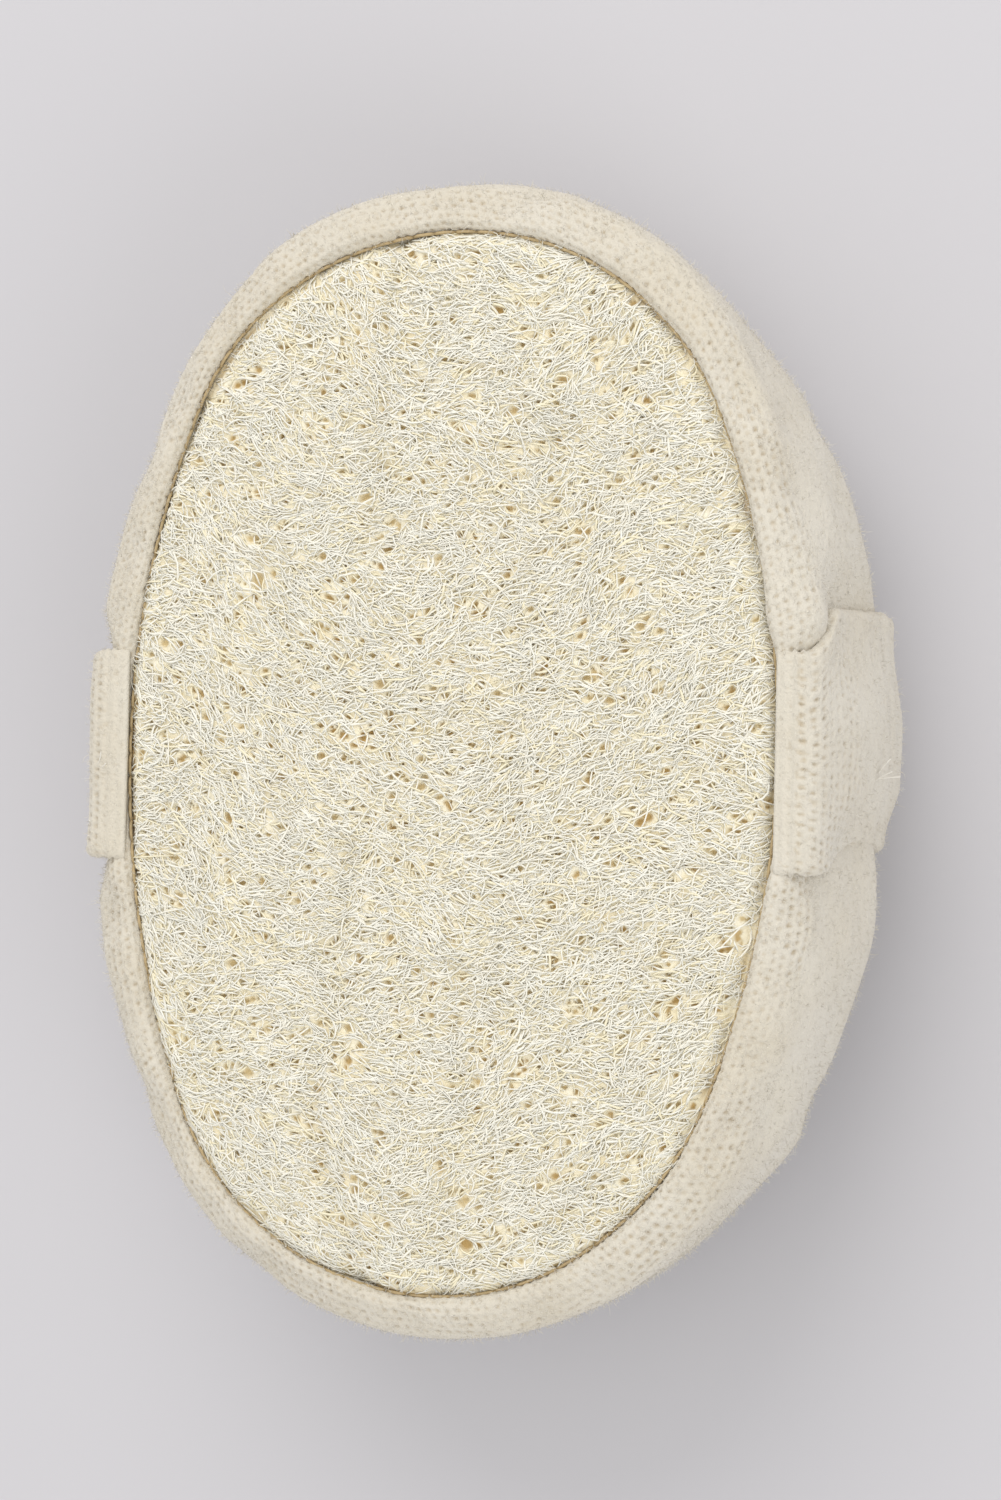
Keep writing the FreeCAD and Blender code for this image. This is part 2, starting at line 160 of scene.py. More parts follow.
class Oval:
    """Four tangent arcs. A point is found by the direction its edge faces, which is also the arc's angle."""

    def __init__(self, half_width, half_length, end_radius):
        self.end = end_radius
        self.up = half_length - end_radius
        self.side = (half_width**2 + self.up**2 - end_radius**2) / (2 * (half_width - end_radius))
        self.across = self.side - half_width
        self.turn = math.atan2(self.up, self.across)
        long_arc = 2 * self.side * self.turn
        end_arc = self.end * (math.pi - 2 * self.turn)
        self.lengths = np.cumsum([0, long_arc / 2, end_arc, long_arc, end_arc, long_arc / 2])
        self.perimeter = self.lengths[-1]

    def facing(self, along):
        """The direction that the edge faces at a distance along it, from the middle of the right side."""
        t = self.turn
        corners = [0, t, math.pi - t, math.pi + t, 2 * math.pi - t, 2 * math.pi]
        return np.interp(np.mod(along, self.perimeter), self.lengths, corners)

    def round(self, count):
        """Evenly spaced distances along the edge, right round it."""
        return np.arange(count) * self.perimeter / count

    def point(self, facing):
        cos, sin = np.cos(facing), np.sin(facing)
        on_side = np.abs(sin) < math.sin(self.turn)
        radius = np.where(on_side, self.side, self.end)
        x = np.where(on_side, -np.sign(cos) * self.across, 0) + radius * cos
        y = np.where(on_side, 0, np.sign(sin) * self.up) + radius * sin
        return x, y

    def inside(self, x, y):
        """How far a point lies inside the edge."""
        ax, ay = np.abs(x), np.abs(y)
        on_side = np.arctan2(ay, ax + self.across) < self.turn
        from_side = self.side - np.hypot(ax + self.across, ay)
        from_end = self.end - np.hypot(ax, ay - self.up)
        return np.where(on_side, from_side, from_end)


seam = Oval(SEAM_HALF_WIDTH, SEAM_HALF_LENGTH, END_RADIUS)


def wander(facing):
    """How far the sewn seam strays from the exact oval: a few slow waves, about 1 mm in all."""
    stray = 0.3 + 0.24 * np.cos(facing + 2.1) + 0.4 * np.cos(2 * facing - 0.8)
    return MM * (stray + 0.37 * np.cos(3 * facing - 0.8) + 0.18 * np.cos(5 * facing))


def belly(facing):
    """How far the cloth at its widest stands out from the oval: most at the right, least at the diagonals."""
    endwise = np.abs(np.sin(facing))
    share = 1 - 0.45 * smooth((endwise - 0.1) / 0.6) + 0.08 * smooth((endwise - 0.75) / 0.25)
    return BULGE * share + 0.9 * MM * np.maximum(np.cos(facing), 0) ** 3


def back_edge(facing):
    """How far the back seam stands out from the oval."""
    return BACK_OUT + (BACK_END_OUT - BACK_OUT) * smooth(np.abs(np.sin(facing)))


def on_outline(along, out, height, stray=1.0):
    """Points at a distance along the seam, at a distance out from it, and at a height."""
    facing = seam.facing(along)
    x, y = seam.point(facing)
    reach = out + stray * wander(facing)
    return np.stack(np.broadcast_arrays(x + reach * np.cos(facing), y + reach * np.sin(facing), height), -1)


# -------- meshes


def mesh_object(name, points, corners, sizes):
    """A mesh from its points, its faces' corners, and how many corners each face has."""
    points = np.asarray(points, np.float32).reshape(-1, 3)
    corners = np.asarray(corners, np.int32).ravel()
    mesh = bpy.data.meshes.new(name)
    mesh.vertices.add(len(points))
    mesh.vertices.foreach_set("co", points.ravel())
    mesh.loops.add(len(corners))
    mesh.loops.foreach_set("vertex_index", corners)
    starts = np.concatenate([[0], np.cumsum(sizes)[:-1]])
    mesh.polygons.add(len(sizes))
    mesh.polygons.foreach_set("loop_start", starts.astype(np.int32))
    mesh.polygons.foreach_set("use_smooth", np.ones(len(sizes), bool))
    mesh.update(calc_edges=True)
    mesh.validate()
    made = bpy.data.objects.new(name, mesh)
    bpy.context.scene.collection.objects.link(made)
    return made


def set_attribute(piece, name, values):
    attribute = piece.data.attributes.new(name, "FLOAT", "POINT")
    attribute.data.foreach_set("value", np.asarray(values, np.float32).ravel())


def grid_faces(n, m, wrap_i, wrap_j):
    """The corners of each face of a grid of n by m points, which may close along i and along j."""
    i, j = np.meshgrid(np.arange(n if wrap_i else n - 1), np.arange(m if wrap_j else m - 1), indexing="ij")
    after_i, after_j = (i + 1) % n, (j + 1) % m
    return np.stack([i * m + j, i * m + after_j, after_i * m + after_j, after_i * m + j], -1).reshape(-1, 4)


def ring_grid(name, points):
    """A closed ring: points[i, j], where i runs round the ring and j round its section."""
    n, m = points.shape[:2]
    outward = grid_faces(n, m, True, True)[:, [0, 3, 2, 1]]
    return mesh_object(name, points, outward, np.full(n * m, 4))


def ring_strip(name, points):
    """An open ring: points[i, j], where i runs round the ring and j across it. Its faces look outward."""
    n, m = points.shape[:2]
    return mesh_object(name, points, grid_faces(n, m, True, False), np.full(n * (m - 1), 4))


def tube_grid(name, points):
    """A closed tube: points[i, j], where i runs along the tube and j round it, with a cap on each end."""
    n, m = points.shape[:2]
    quads = grid_faces(n, m, False, True)
    caps = np.concatenate([np.arange(m)[::-1], (n - 1) * m + np.arange(m)])
    sizes = np.concatenate([np.full(len(quads), 4), [m, m]])
    return mesh_object(name, points, np.concatenate([quads.ravel(), caps]), sizes)


def disc_grid(name, points, middle_top, middle_low):
    """A closed disc: points[i, j] run round it and, over its edge, from its upper to its lower middle."""
    n, m = points.shape[:2]
    quads = grid_faces(n, m, True, False)
    around, following = np.arange(n), (np.arange(n) + 1) % n
    top, low = np.full(n, n * m), np.full(n, n * m + 1)
    top_fan = np.stack([top, around * m, following * m], -1)
    low_fan = np.stack([low, following * m + m - 1, around * m + m - 1], -1)
    points = np.concatenate([points.reshape(-1, 3), [middle_top, middle_low]])
    sizes = np.concatenate([np.full(len(quads), 4), np.full(2 * n, 3)])
    return mesh_object(name, points, np.concatenate([quads.ravel(), top_fan.ravel(), low_fan.ravel()]), sizes)


def unit(v):
    """Vectors of length 1 in the same directions."""
    return v / np.maximum(np.linalg.norm(v, axis=-1, keepdims=True), 1e-12)


def fibres(name, lines, radii, side, sides, tones=None):
    """One mesh of closed fibres: lines[f, k] are the points of fibre f, and side is where a face looks."""
    count, steps = lines.shape[:2]
    tangent = unit(np.gradient(lines, axis=1))
    side = np.broadcast_to(side, (count, 3))[:, None, :]
    flat = unit(side - tangent * (side * tangent).sum(-1, keepdims=True))
    other = np.cross(tangent, flat)
    turn = 2 * np.pi * (np.arange(sides) + 0.5) / sides
    ring = np.cos(turn)[:, None] * flat[:, :, None, :] + np.sin(turn)[:, None] * other[:, :, None, :]
    points = lines[:, :, None, :] + ring * radii[:, :, None, None]
    f, k, q = np.meshgrid(np.arange(count), np.arange(steps - 1), np.arange(sides), indexing="ij")
    here = (f * steps + k) * sides
    after = (q + 1) % sides
    quads = np.stack([here + q, here + after, here + sides + after, here + sides + q], -1)
    start = np.arange(count)[:, None] * steps * sides
    first = start + np.arange(sides)[::-1]
    last = start + (steps - 1) * sides + np.arange(sides)
    corners = np.concatenate([quads.reshape(-1), first.reshape(-1), last.reshape(-1)])
    sizes = np.concatenate([np.full(count * (steps - 1) * sides, 4), np.full(2 * count, sides)])
    made = mesh_object(name, points, corners, sizes)
    if tones is not None:
        per_face = np.concatenate([np.repeat(tones, (steps - 1) * sides), tones, tones])
        made.data.polygons.foreach_set("material_index", per_face.astype(np.int32))
    return made


# -------- materials


class Painter:
    """A material's node tree, with short calls for the nodes used here."""

    def __init__(self, name, roughness, sheen=0.0):
        self.material = bpy.data.materials.new(name)
        self.material.use_nodes = True
        self.nodes = self.material.node_tree.nodes
        self.links = self.material.node_tree.links
        self.shader = self.nodes["Principled BSDF"]
        self.shader.inputs["Roughness"].default_value = roughness
        self.shader.inputs["Sheen Weight"].default_value = sheen
        self.shader.inputs["Sheen Roughness"].default_value = 0.6
        self.shader.inputs["Specular IOR Level"].default_value = 0.15
        self.place = self.nodes.new("ShaderNodeTexCoord").outputs["Object"]

    def attribute(self, name):
        node = self.nodes.new("ShaderNodeAttribute")
        node.attribute_name = name
        return node.outputs["Fac"]

    def noise(self, scale, detail, stretch=(1, 1, 1)):
        mapping = self.nodes.new("ShaderNodeMapping")
        mapping.inputs["Scale"].default_value = stretch
        self.links.new(self.place, mapping.inputs["Vector"])
        node = self.nodes.new("ShaderNodeTexNoise")
        node.inputs["Scale"].default_value = scale
        node.inputs["Detail"].default_value = detail
        self.links.new(mapping.outputs["Vector"], node.inputs["Vector"])
        return node.outputs["Fac"]

    def cells(self, scale):
        node = self.nodes.new("ShaderNodeTexVoronoi")
        node.inputs["Scale"].default_value = scale
        self.links.new(self.place, node.inputs["Vector"])
        return node.outputs["Distance"]

    def ramp(self, value, stops):
        """Colours along a value from 0 to 1: stops are pairs of position and colour."""
        node = self.nodes.new("ShaderNodeValToRGB")
        elements = node.color_ramp.elements
        while len(elements) < len(stops):
            elements.new(0.5)
        for element, (position, colour) in zip(elements, stops):
            element.position = position
            element.color = (*colour, 1)
        self.links.new(value, node.inputs["Fac"])
        return node.outputs["Color"]

    def mask(self, name, first, last):
        """A grey share that follows an attribute. first and last are pairs of its value and a grey."""
        return self.ramp(self.attribute(name), [(position, (grey,) * 3) for position, grey in (first, last)])

    def blend(self, share, first, second):
        """One colour over another, by a share from 0 to 1."""
        node = self.nodes.new("ShaderNodeMix")
        node.data_type = "RGBA"
        factor = next(socket for socket in node.inputs if socket.name == "Factor" and socket.type == "VALUE")
        colours = [socket for socket in node.inputs if socket.type == "RGBA"]
        for socket, value in zip([factor, *colours], (share, first, second)):
            self.feed(socket, value)
        return next(socket for socket in node.outputs if socket.type == "RGBA")

    def feed(self, socket, value):
        """Gives a socket another node's output, a number or a colour."""
        if isinstance(value, bpy.types.NodeSocket):
            self.links.new(value, socket)
        else:
            socket.default_value = value if isinstance(value, (int, float)) else (*value, 1)

    def colour(self, value):
        self.feed(self.shader.inputs["Base Color"], value)

    def bump(self, height, depth, strength=1.0):
        node = self.nodes.new("ShaderNodeBump")
        node.inputs["Strength"].default_value = strength
        node.inputs["Distance"].default_value = depth
        self.links.new(height, node.inputs["Height"])
        self.links.new(node.outputs["Normal"], self.shader.inputs["Normal"])


def plain(name, colour, roughness=0.85, sheen=0.2):
    """One tone of a fibre: the variety comes from several tones and from the fibres' own shape."""
    painter = Painter(name, roughness, sheen)
    painter.colour(colour)
    return painter.material


TERRY = (0.65, 0.595, 0.49)
TERRY_PALE = (0.69, 0.645, 0.555)
# The next two colours are painted shade: in the hollows between the loops, and darker tan in the knit's holes.
TERRY_HOLLOW_SHADE = (0.58, 0.505, 0.385)
HOLE_SHADE = (0.46, 0.365, 0.235)
FIBRE_TONES = {"pale": (0.90, 0.88, 0.79), "cream": (0.91, 0.875, 0.765), "straw": (0.89, 0.82, 0.61)}
HAIR_TONES = {"pale": (0.76, 0.72, 0.64), "warm": (0.71, 0.66, 0.56)}
MAT_PALE = (0.90, 0.845, 0.68)
MAT_STRAW = (0.84, 0.745, 0.52)
# Pore colours, also used in the groove beside the seam: partly the loofah's own deeper tone, partly painted
# shade.
PORE_TAN = (0.71, 0.57, 0.32)
PORE_GOLD = (0.54, 0.37, 0.15)


def terry_material(name):
    """Cream terry, mottled at random, with painted shade in the hollows between its loops and a darker tan
    painted shade in the holes of its knit.
    """
    p = Painter(name, roughness=0.95, sheen=0.3)
    body = p.ramp(p.noise(70, 4), [(0.35, TERRY), (0.65, TERRY_PALE)])
    # painted shade in the hollows between the loops, where the relief attribute is low
    looped = p.blend(p.mask("relief", (0.1, 0.7), (0.6, 0)), body, TERRY_HOLLOW_SHADE)
    # darker tan painted shade in the knit's holes
    p.colour(p.blend(p.mask("hole", (0.15, 0), (0.95, 0.6)), looped, HOLE_SHADE))
    p.bump(p.noise(2200, 5), 0.0003, 0.9)
    return p.material


def loofah_base_material():
    """The loofah's inner mat: cream mottled with straw at random, with golden pores and a tan groove beside
    the seam whose colour is partly the loofah's own deeper tone and partly painted shade.
    """
    p = Painter("loofah_mat", roughness=0.9, sheen=0.1)
    body = p.ramp(p.noise(260, 5), [(0.35, MAT_STRAW), (0.62, MAT_PALE)])
    # partly painted shade: the pores and the seam's groove darken to tan and gold
    deep = p.ramp(p.noise(170, 2), [(0.46, PORE_TAN), (0.6, PORE_GOLD)])
    p.colour(p.blend(p.mask("pore", (0.12, 0), (0.55, 1)), body, deep))
    p.bump(p.noise(1500, 5), 0.0004, 0.9)
    return p.material


# -------- cloth

SLACK = 0.03  # share by which the cover is cut larger than the shape it is sewn to
COVER_PRESSURE = 100
COVER_FRAMES = 12
SWELL = 1.5 * MM  # how much smaller than the finished cover the foam's shape starts


def swell(points, held):
    """A coarse ring of cover after a cloth simulation fills it out. held marks the points that stay."""
    piece = ring_strip("cover_cage", points)
    group = piece.vertex_groups.new(name="held")
    group.add([int(i) for i in np.flatnonzero(held.ravel())], 1.0, "REPLACE")
    cloth = piece.modifiers.new("cover", "CLOTH")
    settings = cloth.settings
    settings.quality = 6
    settings.mass = 0.05
    settings.tension_stiffness = 20
    settings.compression_stiffness = 20
    settings.shear_stiffness = 10
    settings.bending_stiffness = 0.3
    settings.shrink_min = -SLACK
    settings.use_pressure = True
    settings.uniform_pressure_force = COVER_PRESSURE
    settings.vertex_group_mass = "held"
    settings.effector_weights.gravity = 0
    cloth.collision_settings.use_collision = False
    for frame_number in range(1, COVER_FRAMES + 1):
        bpy.context.scene.frame_set(frame_number)
    settled = piece.evaluated_get(bpy.context.evaluated_depsgraph_get()).to_mesh()
    found = np.empty(points.size, np.float32)
    settled.vertices.foreach_get("co", found)
    mesh = piece.data
    bpy.data.objects.remove(piece)
    bpy.data.meshes.remove(mesh)
    bpy.context.scene.frame_set(1)
    return found.reshape(points.shape)


def spline_weights(t):
    """The shares of four neighbouring points in a uniform cubic B-spline."""
    return (1 - t) ** 3 / 6, (3 * t**3 - 6 * t**2 + 4) / 6, (3 * (t + t**2 - t**3) + 1) / 6, t**3 / 6


def spread(coarse, columns, rows):
    """Smooth values between those of a coarse grid, at fractional columns, which wrap round, and rows."""
    column, row = np.floor(columns).astype(int), np.floor(rows).astype(int)
    count, last = coarse.shape[0], coarse.shape[1] - 1
    part = sum(
        weight[:, None, None] * coarse[(column + k - 1) % count]
        for k, weight in enumerate(spline_weights(columns - column))
    )
    return sum(
        weight[None, :, None] * part[:, np.clip(row + k - 1, 0, last)]
        for k, weight in enumerate(spline_weights(rows - row))
    )


# -------- terry side band

BAND_STEP = 0.38 * MM  # spacing of the band's mesh along the seam
BORDER_STEP = 0.32 * MM  # spacing of its rows in the knit border, fine enough to carry the knit's holes
WALL_STEP = 0.55 * MM
KNIT_WIDTH = 9 * MM  # width of the knit border beside the front seam
KNIT_PITCH = 1.45 * MM
KNIT_ROW = 1.4 * MM
LOOP_PITCH = 0.85 * MM
STRAP_PRESS = 2.0 * MM  # how far the strap presses the band in
CAGE_STEP = 3.3 * MM  # spacing of the simulated cover's points
SECTION_STEPS = 24  # fine rows for each row of the section below
WANDER_FADE = 9 * MM  # how far over the rim the seam's wandering shows
SIDE_START = 42 * MM  # how far out from the pad's middle the strap starts to touch the band
ROUND_BELLY = 1.09  # how much longer the way round the cloth is than the seam
EDGE_FADE = 8 * MM  # over which the cover's unevenness starts and ends

# The band's section from inside the front seam to inside the back seam. Each row has the share of the
# rim's reach, the share of the further reach to the belly, the share of the way back to the back seam,
# and how far it lies below the front seam.
BAND_SECTION = [
    (-0.05, 0, 0, 3.2 * MM),
    (0.03, 0, 0, 0.9 * MM),
    (0.16, 0, 0, -0.25 * MM),
    (0.42, 0, 0, -0.5 * MM),
    (0.72, 0, 0, 0.4 * MM),
    (0.93, 0.03, 0, 2.2 * MM),
    (1, 0.15, 0, 5.0 * MM),
    (1, 0.42, 0, 9.5 * MM),
    (1, 0.70, 0, 14.5 * MM),
    (1, 0.93, 0, 20.5 * MM),
    (1, 1, 0, 25.0 * MM),
    (1, 0.9, 0.05, 29.5 * MM),
    (1, 0.6, 0.3, 33.0 * MM),
    (1, 0.25, 0.7, 35.6 * MM),
    (1, 0.05, 1.0, 36.6 * MM),
    (1, 0, 1.25, 35.9 * MM),
]


def fine_section():
    """The section as a smooth line of closely spaced rows, with their distance along it at the pad's side."""
    rows = np.array(BAND_SECTION)
    padded = np.vstack([2 * rows[0] - rows[1], rows, 2 * rows[-1] - rows[-2]])
    t = np.linspace(0, 1, SECTION_STEPS, endpoint=False)[:, None]
    parts = []
    for a, b, c, d in zip(padded, padded[1:], padded[2:], padded[3:]):
        curve = 2 * b + (c - a) * t + (2 * a - 5 * b + 4 * c - d) * t**2 + (3 * b - a - 3 * c + d) * t**3
        parts.append(0.5 * curve)
    line = np.vstack([*parts, rows[-1:]])
    out, drop = band_out(line, np.zeros(1))[0], line[:, 3]
    reach = np.concatenate([[0], np.cumsum(np.hypot(np.diff(out), np.diff(drop)))])
    return line, reach


def band_out(rows, facing):
    """How far rows of the section stand out from the oval at some facings, before the cover swells."""
    wide = np.maximum(belly(facing) - SWELL, 0)[:, None] - RIM_OUT
    back = back_edge(facing)[:, None] - RIM_OUT
    return RIM_OUT * rows[None, :, 0] + wide * rows[None, :, 1] + back * rows[None, :, 2]


def resample(line, reach, at):
    """The section's rows at some distances along it."""
    return np.stack([np.interp(at, reach, column) for column in line.T], -1)


def band_points(along, rows, at):
    """The plain band. The seam's wandering fades out over the rim."""
    facing = seam.facing(along)
    stray = 1 - smooth(at / WANDER_FADE)
    return on_outline(along[:, None], band_out(rows, facing), SEAM_Z - rows[None, :, 3], stray[None, :])


def under_strap(points, margin):
    """How much a place on the band lies under the strap, from 0 to 1. margin widens the strap."""
    near_side = smooth((np.abs(points[..., 0]) - SIDE_START) / (5 * MM))
    drift = 4 * MM * smooth((SEAM_Z - points[..., 2]) / (20 * MM)) * (points[..., 0] > 0)
    return near_side * smooth((STRAP_WIDTH / 2 + margin - np.abs(points[..., 1] - drift)) / (3 * MM))


def strap_puff(points, at):
    """Where the band puffs up beside the upper edge of the strap's right end, from 0 to 1."""
    return hump(points[..., 1], 20 * MM, 3.4 * MM) * (points[..., 0] > 0) * hump(at, 9 * MM, 6 * MM)


def swollen_band(line, reach):
    """The simulated cover's coarse points less its plain ones, with the places of its rows."""
    columns, count = int(seam.perimeter / CAGE_STEP), int(reach[-1] / CAGE_STEP)
    along = seam.round(columns)
    at = np.linspace(0, reach[-1], count)
    rows = resample(line, reach, at)
    plain_points = band_points(along, rows, at)
    normals = outward_normals(plain_points)
    uneven = 0.6 * MM * noise(along[:, None], at[None, :], 17 * MM, 3)
    middle = smooth(at / EDGE_FADE) * smooth((reach[-1] - at) / EDGE_FADE)
    pressed = under_strap(plain_points, -1.5 * MM) * smooth((at - 2 * MM) / (4 * MM))
    shift = uneven * middle[None, :] * (1 - pressed) - STRAP_PRESS * pressed
    start = plain_points + normals * shift[..., None]
    held = pressed > 0.6
    held[:, :2] = True
    held[:, -2:] = True
    return swell(start, held) - plain_points, at


def outward_normals(points):
    """Unit normals of an open ring of points, away from the pad."""
    along = np.roll(points, -1, 0) - np.roll(points, 1, 0)
    normals = unit(np.cross(along, np.gradient(points, axis=1)))
    middle = points.shape[1] // 2
    return normals if normals[0, middle, 0] > 0 else -normals


def make_side_band():
    """The cloth round the pad, from the front seam to the back seam, closed by an inner wall."""
    line, reach = fine_section()
    border_rows = np.arange(0, KNIT_WIDTH + 4 * MM, BORDER_STEP)
    wall_rows = np.arange(border_rows[-1] + WALL_STEP, reach[-1], WALL_STEP)
    at = np.concatenate([border_rows, wall_rows, reach[-1:]])
    rows = resample(line, reach, at)
    count = int(seam.perimeter / BAND_STEP)
    along = seam.round(count)
    swelling, cage_at = swollen_band(line, reach)
    columns = np.arange(count) * swelling.shape[0] / count
    cage_rows = np.interp(at, cage_at, np.arange(len(cage_at)))
    points = band_points(along, rows, at) + spread(swelling, columns, cage_rows)
    normals = outward_normals(points)

    u, v = along[:, None] * ROUND_BELLY, at[None, :]
    wave = 0.35 * MM * noise(u, v, 12 * MM, 5)
    border = 1 - smooth((v - KNIT_WIDTH) / (4 * MM) + 0.5 * noise(u, v, 9 * MM, 8))
    holes = knit_holes(u + 0.25 * MM * noise(u, v, 4 * MM, 6), v + wave, KNIT_PITCH, KNIT_ROW, 11)
    holes = holes * border * (0.9 + 0.3 * noise(u, v, 7 * MM, 12))
    pile = loops(u, v, LOOP_PITCH, 0.95, 21)
    height = 0.2 * MM * (pile - 0.6) - 0.34 * MM * holes + 1.1 * MM * strap_puff(points, v)
    height = height + 0.22 * MM * noise(u, v, 8 * MM, 4) * smooth(v / (3 * MM))
    points = points + normals * height[..., None]
    # relief and holes also colour the cloth: painted shade in the hollows between loops, less on the wall than
    # in the knit border, darker in the knit's holes
    relief = np.clip(0.4 + 0.6 * pile * (0.45 + 0.55 * border) + 0.3 * (1 - border) - 0.6 * holes, 0, 1)

    rim_in = points[:, -1:] + np.array([0, 0, 1.5 * MM])
    inner_rows = slice(-30, 14, -16)
    inner = band_points(along, rows[inner_rows], at[inner_rows]) - normals[:, inner_rows] * 2.4 * MM
    closed = np.concatenate([points, rim_in, inner], 1)
    piece = ring_grid("terry_band", closed)
    hidden = np.full((count, closed.shape[1] - len(at)), 0.6)
    set_attribute(piece, "relief", np.concatenate([relief, hidden], 1))
    set_attribute(piece, "hole", np.concatenate([holes, 0 * hidden], 1))
    piece.data.materials.append(terry_material("terry_band_cloth"))
    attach(piece, "pad")
    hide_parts("terry_side_band")
    return points, normals, at


# -------- terry back panel

FIRST_RING = 0.012  # the innermost ring of a disc's mesh, as a share of its rim


def flat_rings(x, y, skip, z):
    """One of every skip rings of a disc, from its rim inwards, all at one height."""
    return np.stack(np.broadcast_arrays(x[:, ::-skip], y[:, ::-skip], z), -1)


def make_back_panel():
    """The oval panel that closes the back, crowned under the palm."""
    columns, rings = 900, 150
    along = seam.round(columns)
    rim = on_outline(along, back_edge(seam.facing(along)) + 0.1 * MM, np.zeros(columns), 0)
    share = np.linspace(FIRST_RING, 1, rings)
    x, y = rim[:, None, 0] * share, rim[:, None, 1] * share
    inward = (1 - share) * np.hypot(rim[:, 0], rim[:, 1])[:, None]
    crown = smooth(inward / (15 * MM)) * 0.75 + smooth(inward / (5 * MM)) * 0.25
    rim_level = BACK_SEAM_Z - 0.4 * MM
    level = rim_level - (rim_level - PALM_Z) * crown
    pile = loops(x, y, LOOP_PITCH, 0.75, 31)
    level = level + 0.3 * MM * noise(x, y, 16 * MM, 33) * smooth(inward / (8 * MM))
    level = level - 0.24 * MM * (pile - 0.6) * smooth(inward / (1.5 * MM))
    under = np.stack([x, y, level], -1)
    tuck = under[:, -1:, :] + np.array([0, 0, 1.2 * MM])
    inner_z = BACK_SEAM_Z + 0.8 * MM
    above = flat_rings(x, y, 14, inner_z)
    above[:, 0, :2] *= 0.985
    points = np.concatenate([under, tuck, above], 1)[:, ::-1]
    piece = disc_grid("terry_back", points, (0, 0, inner_z), (0, 0, PALM_Z))
    # relief colours the panel: painted shade in the hollows between its loops
    relief = np.concatenate([0.4 + 0.6 * pile, np.full((columns, 1 + above.shape[1]), 0.6)], 1)[:, ::-1]
    set_attribute(piece, "relief", np.concatenate([relief.ravel(), [0.6, 0.6]]))
    piece.data.materials.append(terry_material("terry_back_cloth"))
    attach(piece, "pad")
    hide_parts("terry_back_panel")
    return under, np.zeros_like(under) + np.array([0, 0, -1.0])


# -------- loofah

# Soft lengthwise valleys, where the flattened gourd's inner walls were: middle line, depth and width in mm
VALLEYS = [
    ([(-8, 74), (-11, 44), (-9, 30)], 1.0, 2.4),
    ([(-13, -14), (-18, -50), (-10, -76)], 1.3, 2.4),
    ([(15, 44), (11, 5), (9, -36)], 1.1, 3.0),
    ([(-25, 26), (-24, -10), (-22, -44)], 0.8, 3.6),
    ([(4, -30), (2, -74)], 0.9, 2.2),
    ([(26, 60), (22, 20)], 0.6, 4.0),
]


def from_line(x, y, line):
    """Distance from a line of straight runs."""
    nearest = np.full(x.shape, 9.0)
    for (ax, ay), (bx, by) in zip(line, line[1:]):
        dx, dy = (bx - ax) * MM, (by - ay) * MM
        t = np.clip(((x - ax * MM) * dx + (y - ay * MM) * dy) / (dx * dx + dy * dy), 0, 1)
        nearest = np.minimum(nearest, np.hypot(x - ax * MM - t * dx, y - ay * MM - t * dy))
    return nearest


def inside_face(x, y):
    """How far a place on the face lies inside its seam."""
    return seam.inside(x, y) + wander(np.arctan2(y, x))


def face_height(x, y):
    """The top of the loofah's inner mat."""
    inward = inside_face(x, y)
    crown = SEAM_Z - 1.2 * MM + 1.6 * MM * smooth(inward / (2.2 * MM))
    crown = crown + (FACE_TOP - SEAM_Z - 1.3 * MM) * smooth(inward / (17 * MM))
    for line, depth, width in VALLEYS:
        wavering = from_line(x, y, line) + 0.8 * MM * noise(x, y, 9 * MM, 41)
        crown = crown - depth * MM * hump(wavering, 0, width * MM)
    return crown + 0.35 * MM * noise(x, y, 13 * MM, 42) + 0.2 * MM * noise(x, y, 5 * MM, 43)


def fibre_lie(x, y):
    """Which way most fibres lie: down to the right on the pad's left, level or up to the right elsewhere."""
    sweep = -35 + 55 * smooth((x + 40 * MM) / (70 * MM)) + 18 * noise(x, y, 60 * MM, 44)
    return np.radians(sweep + 38 * noise(x, y, 11 * MM, 45) + 16 * noise(x, y, 5 * MM, 46))


def scatter(count, seed, inset):
    """Points spread over the loofah face, at least inset from its seam."""
    rng = np.random.default_rng(seed)
    x = rng.uniform(-SEAM_HALF_WIDTH, SEAM_HALF_WIDTH, 2 * count)
    y = rng.uniform(-SEAM_HALF_LENGTH, SEAM_HALF_LENGTH, 2 * count)
    kept = inside_face(x, y) > inset
    return x[kept][:count], y[kept][:count], rng


PORE_GRID = 0.15 * MM
PORE_REACH = 11  # cells of that grid that a pore may cover either way
PORE_SOFTNESS = 1.6  # how many times its size a pore's edge fades out over
PORES = [
    # how many, their usual half length, how far that varies, how strongly they show
    (2000, 0.24 * MM, 0.25, 0.75),
    (1700, 0.36 * MM, 0.3, 0.9),
]


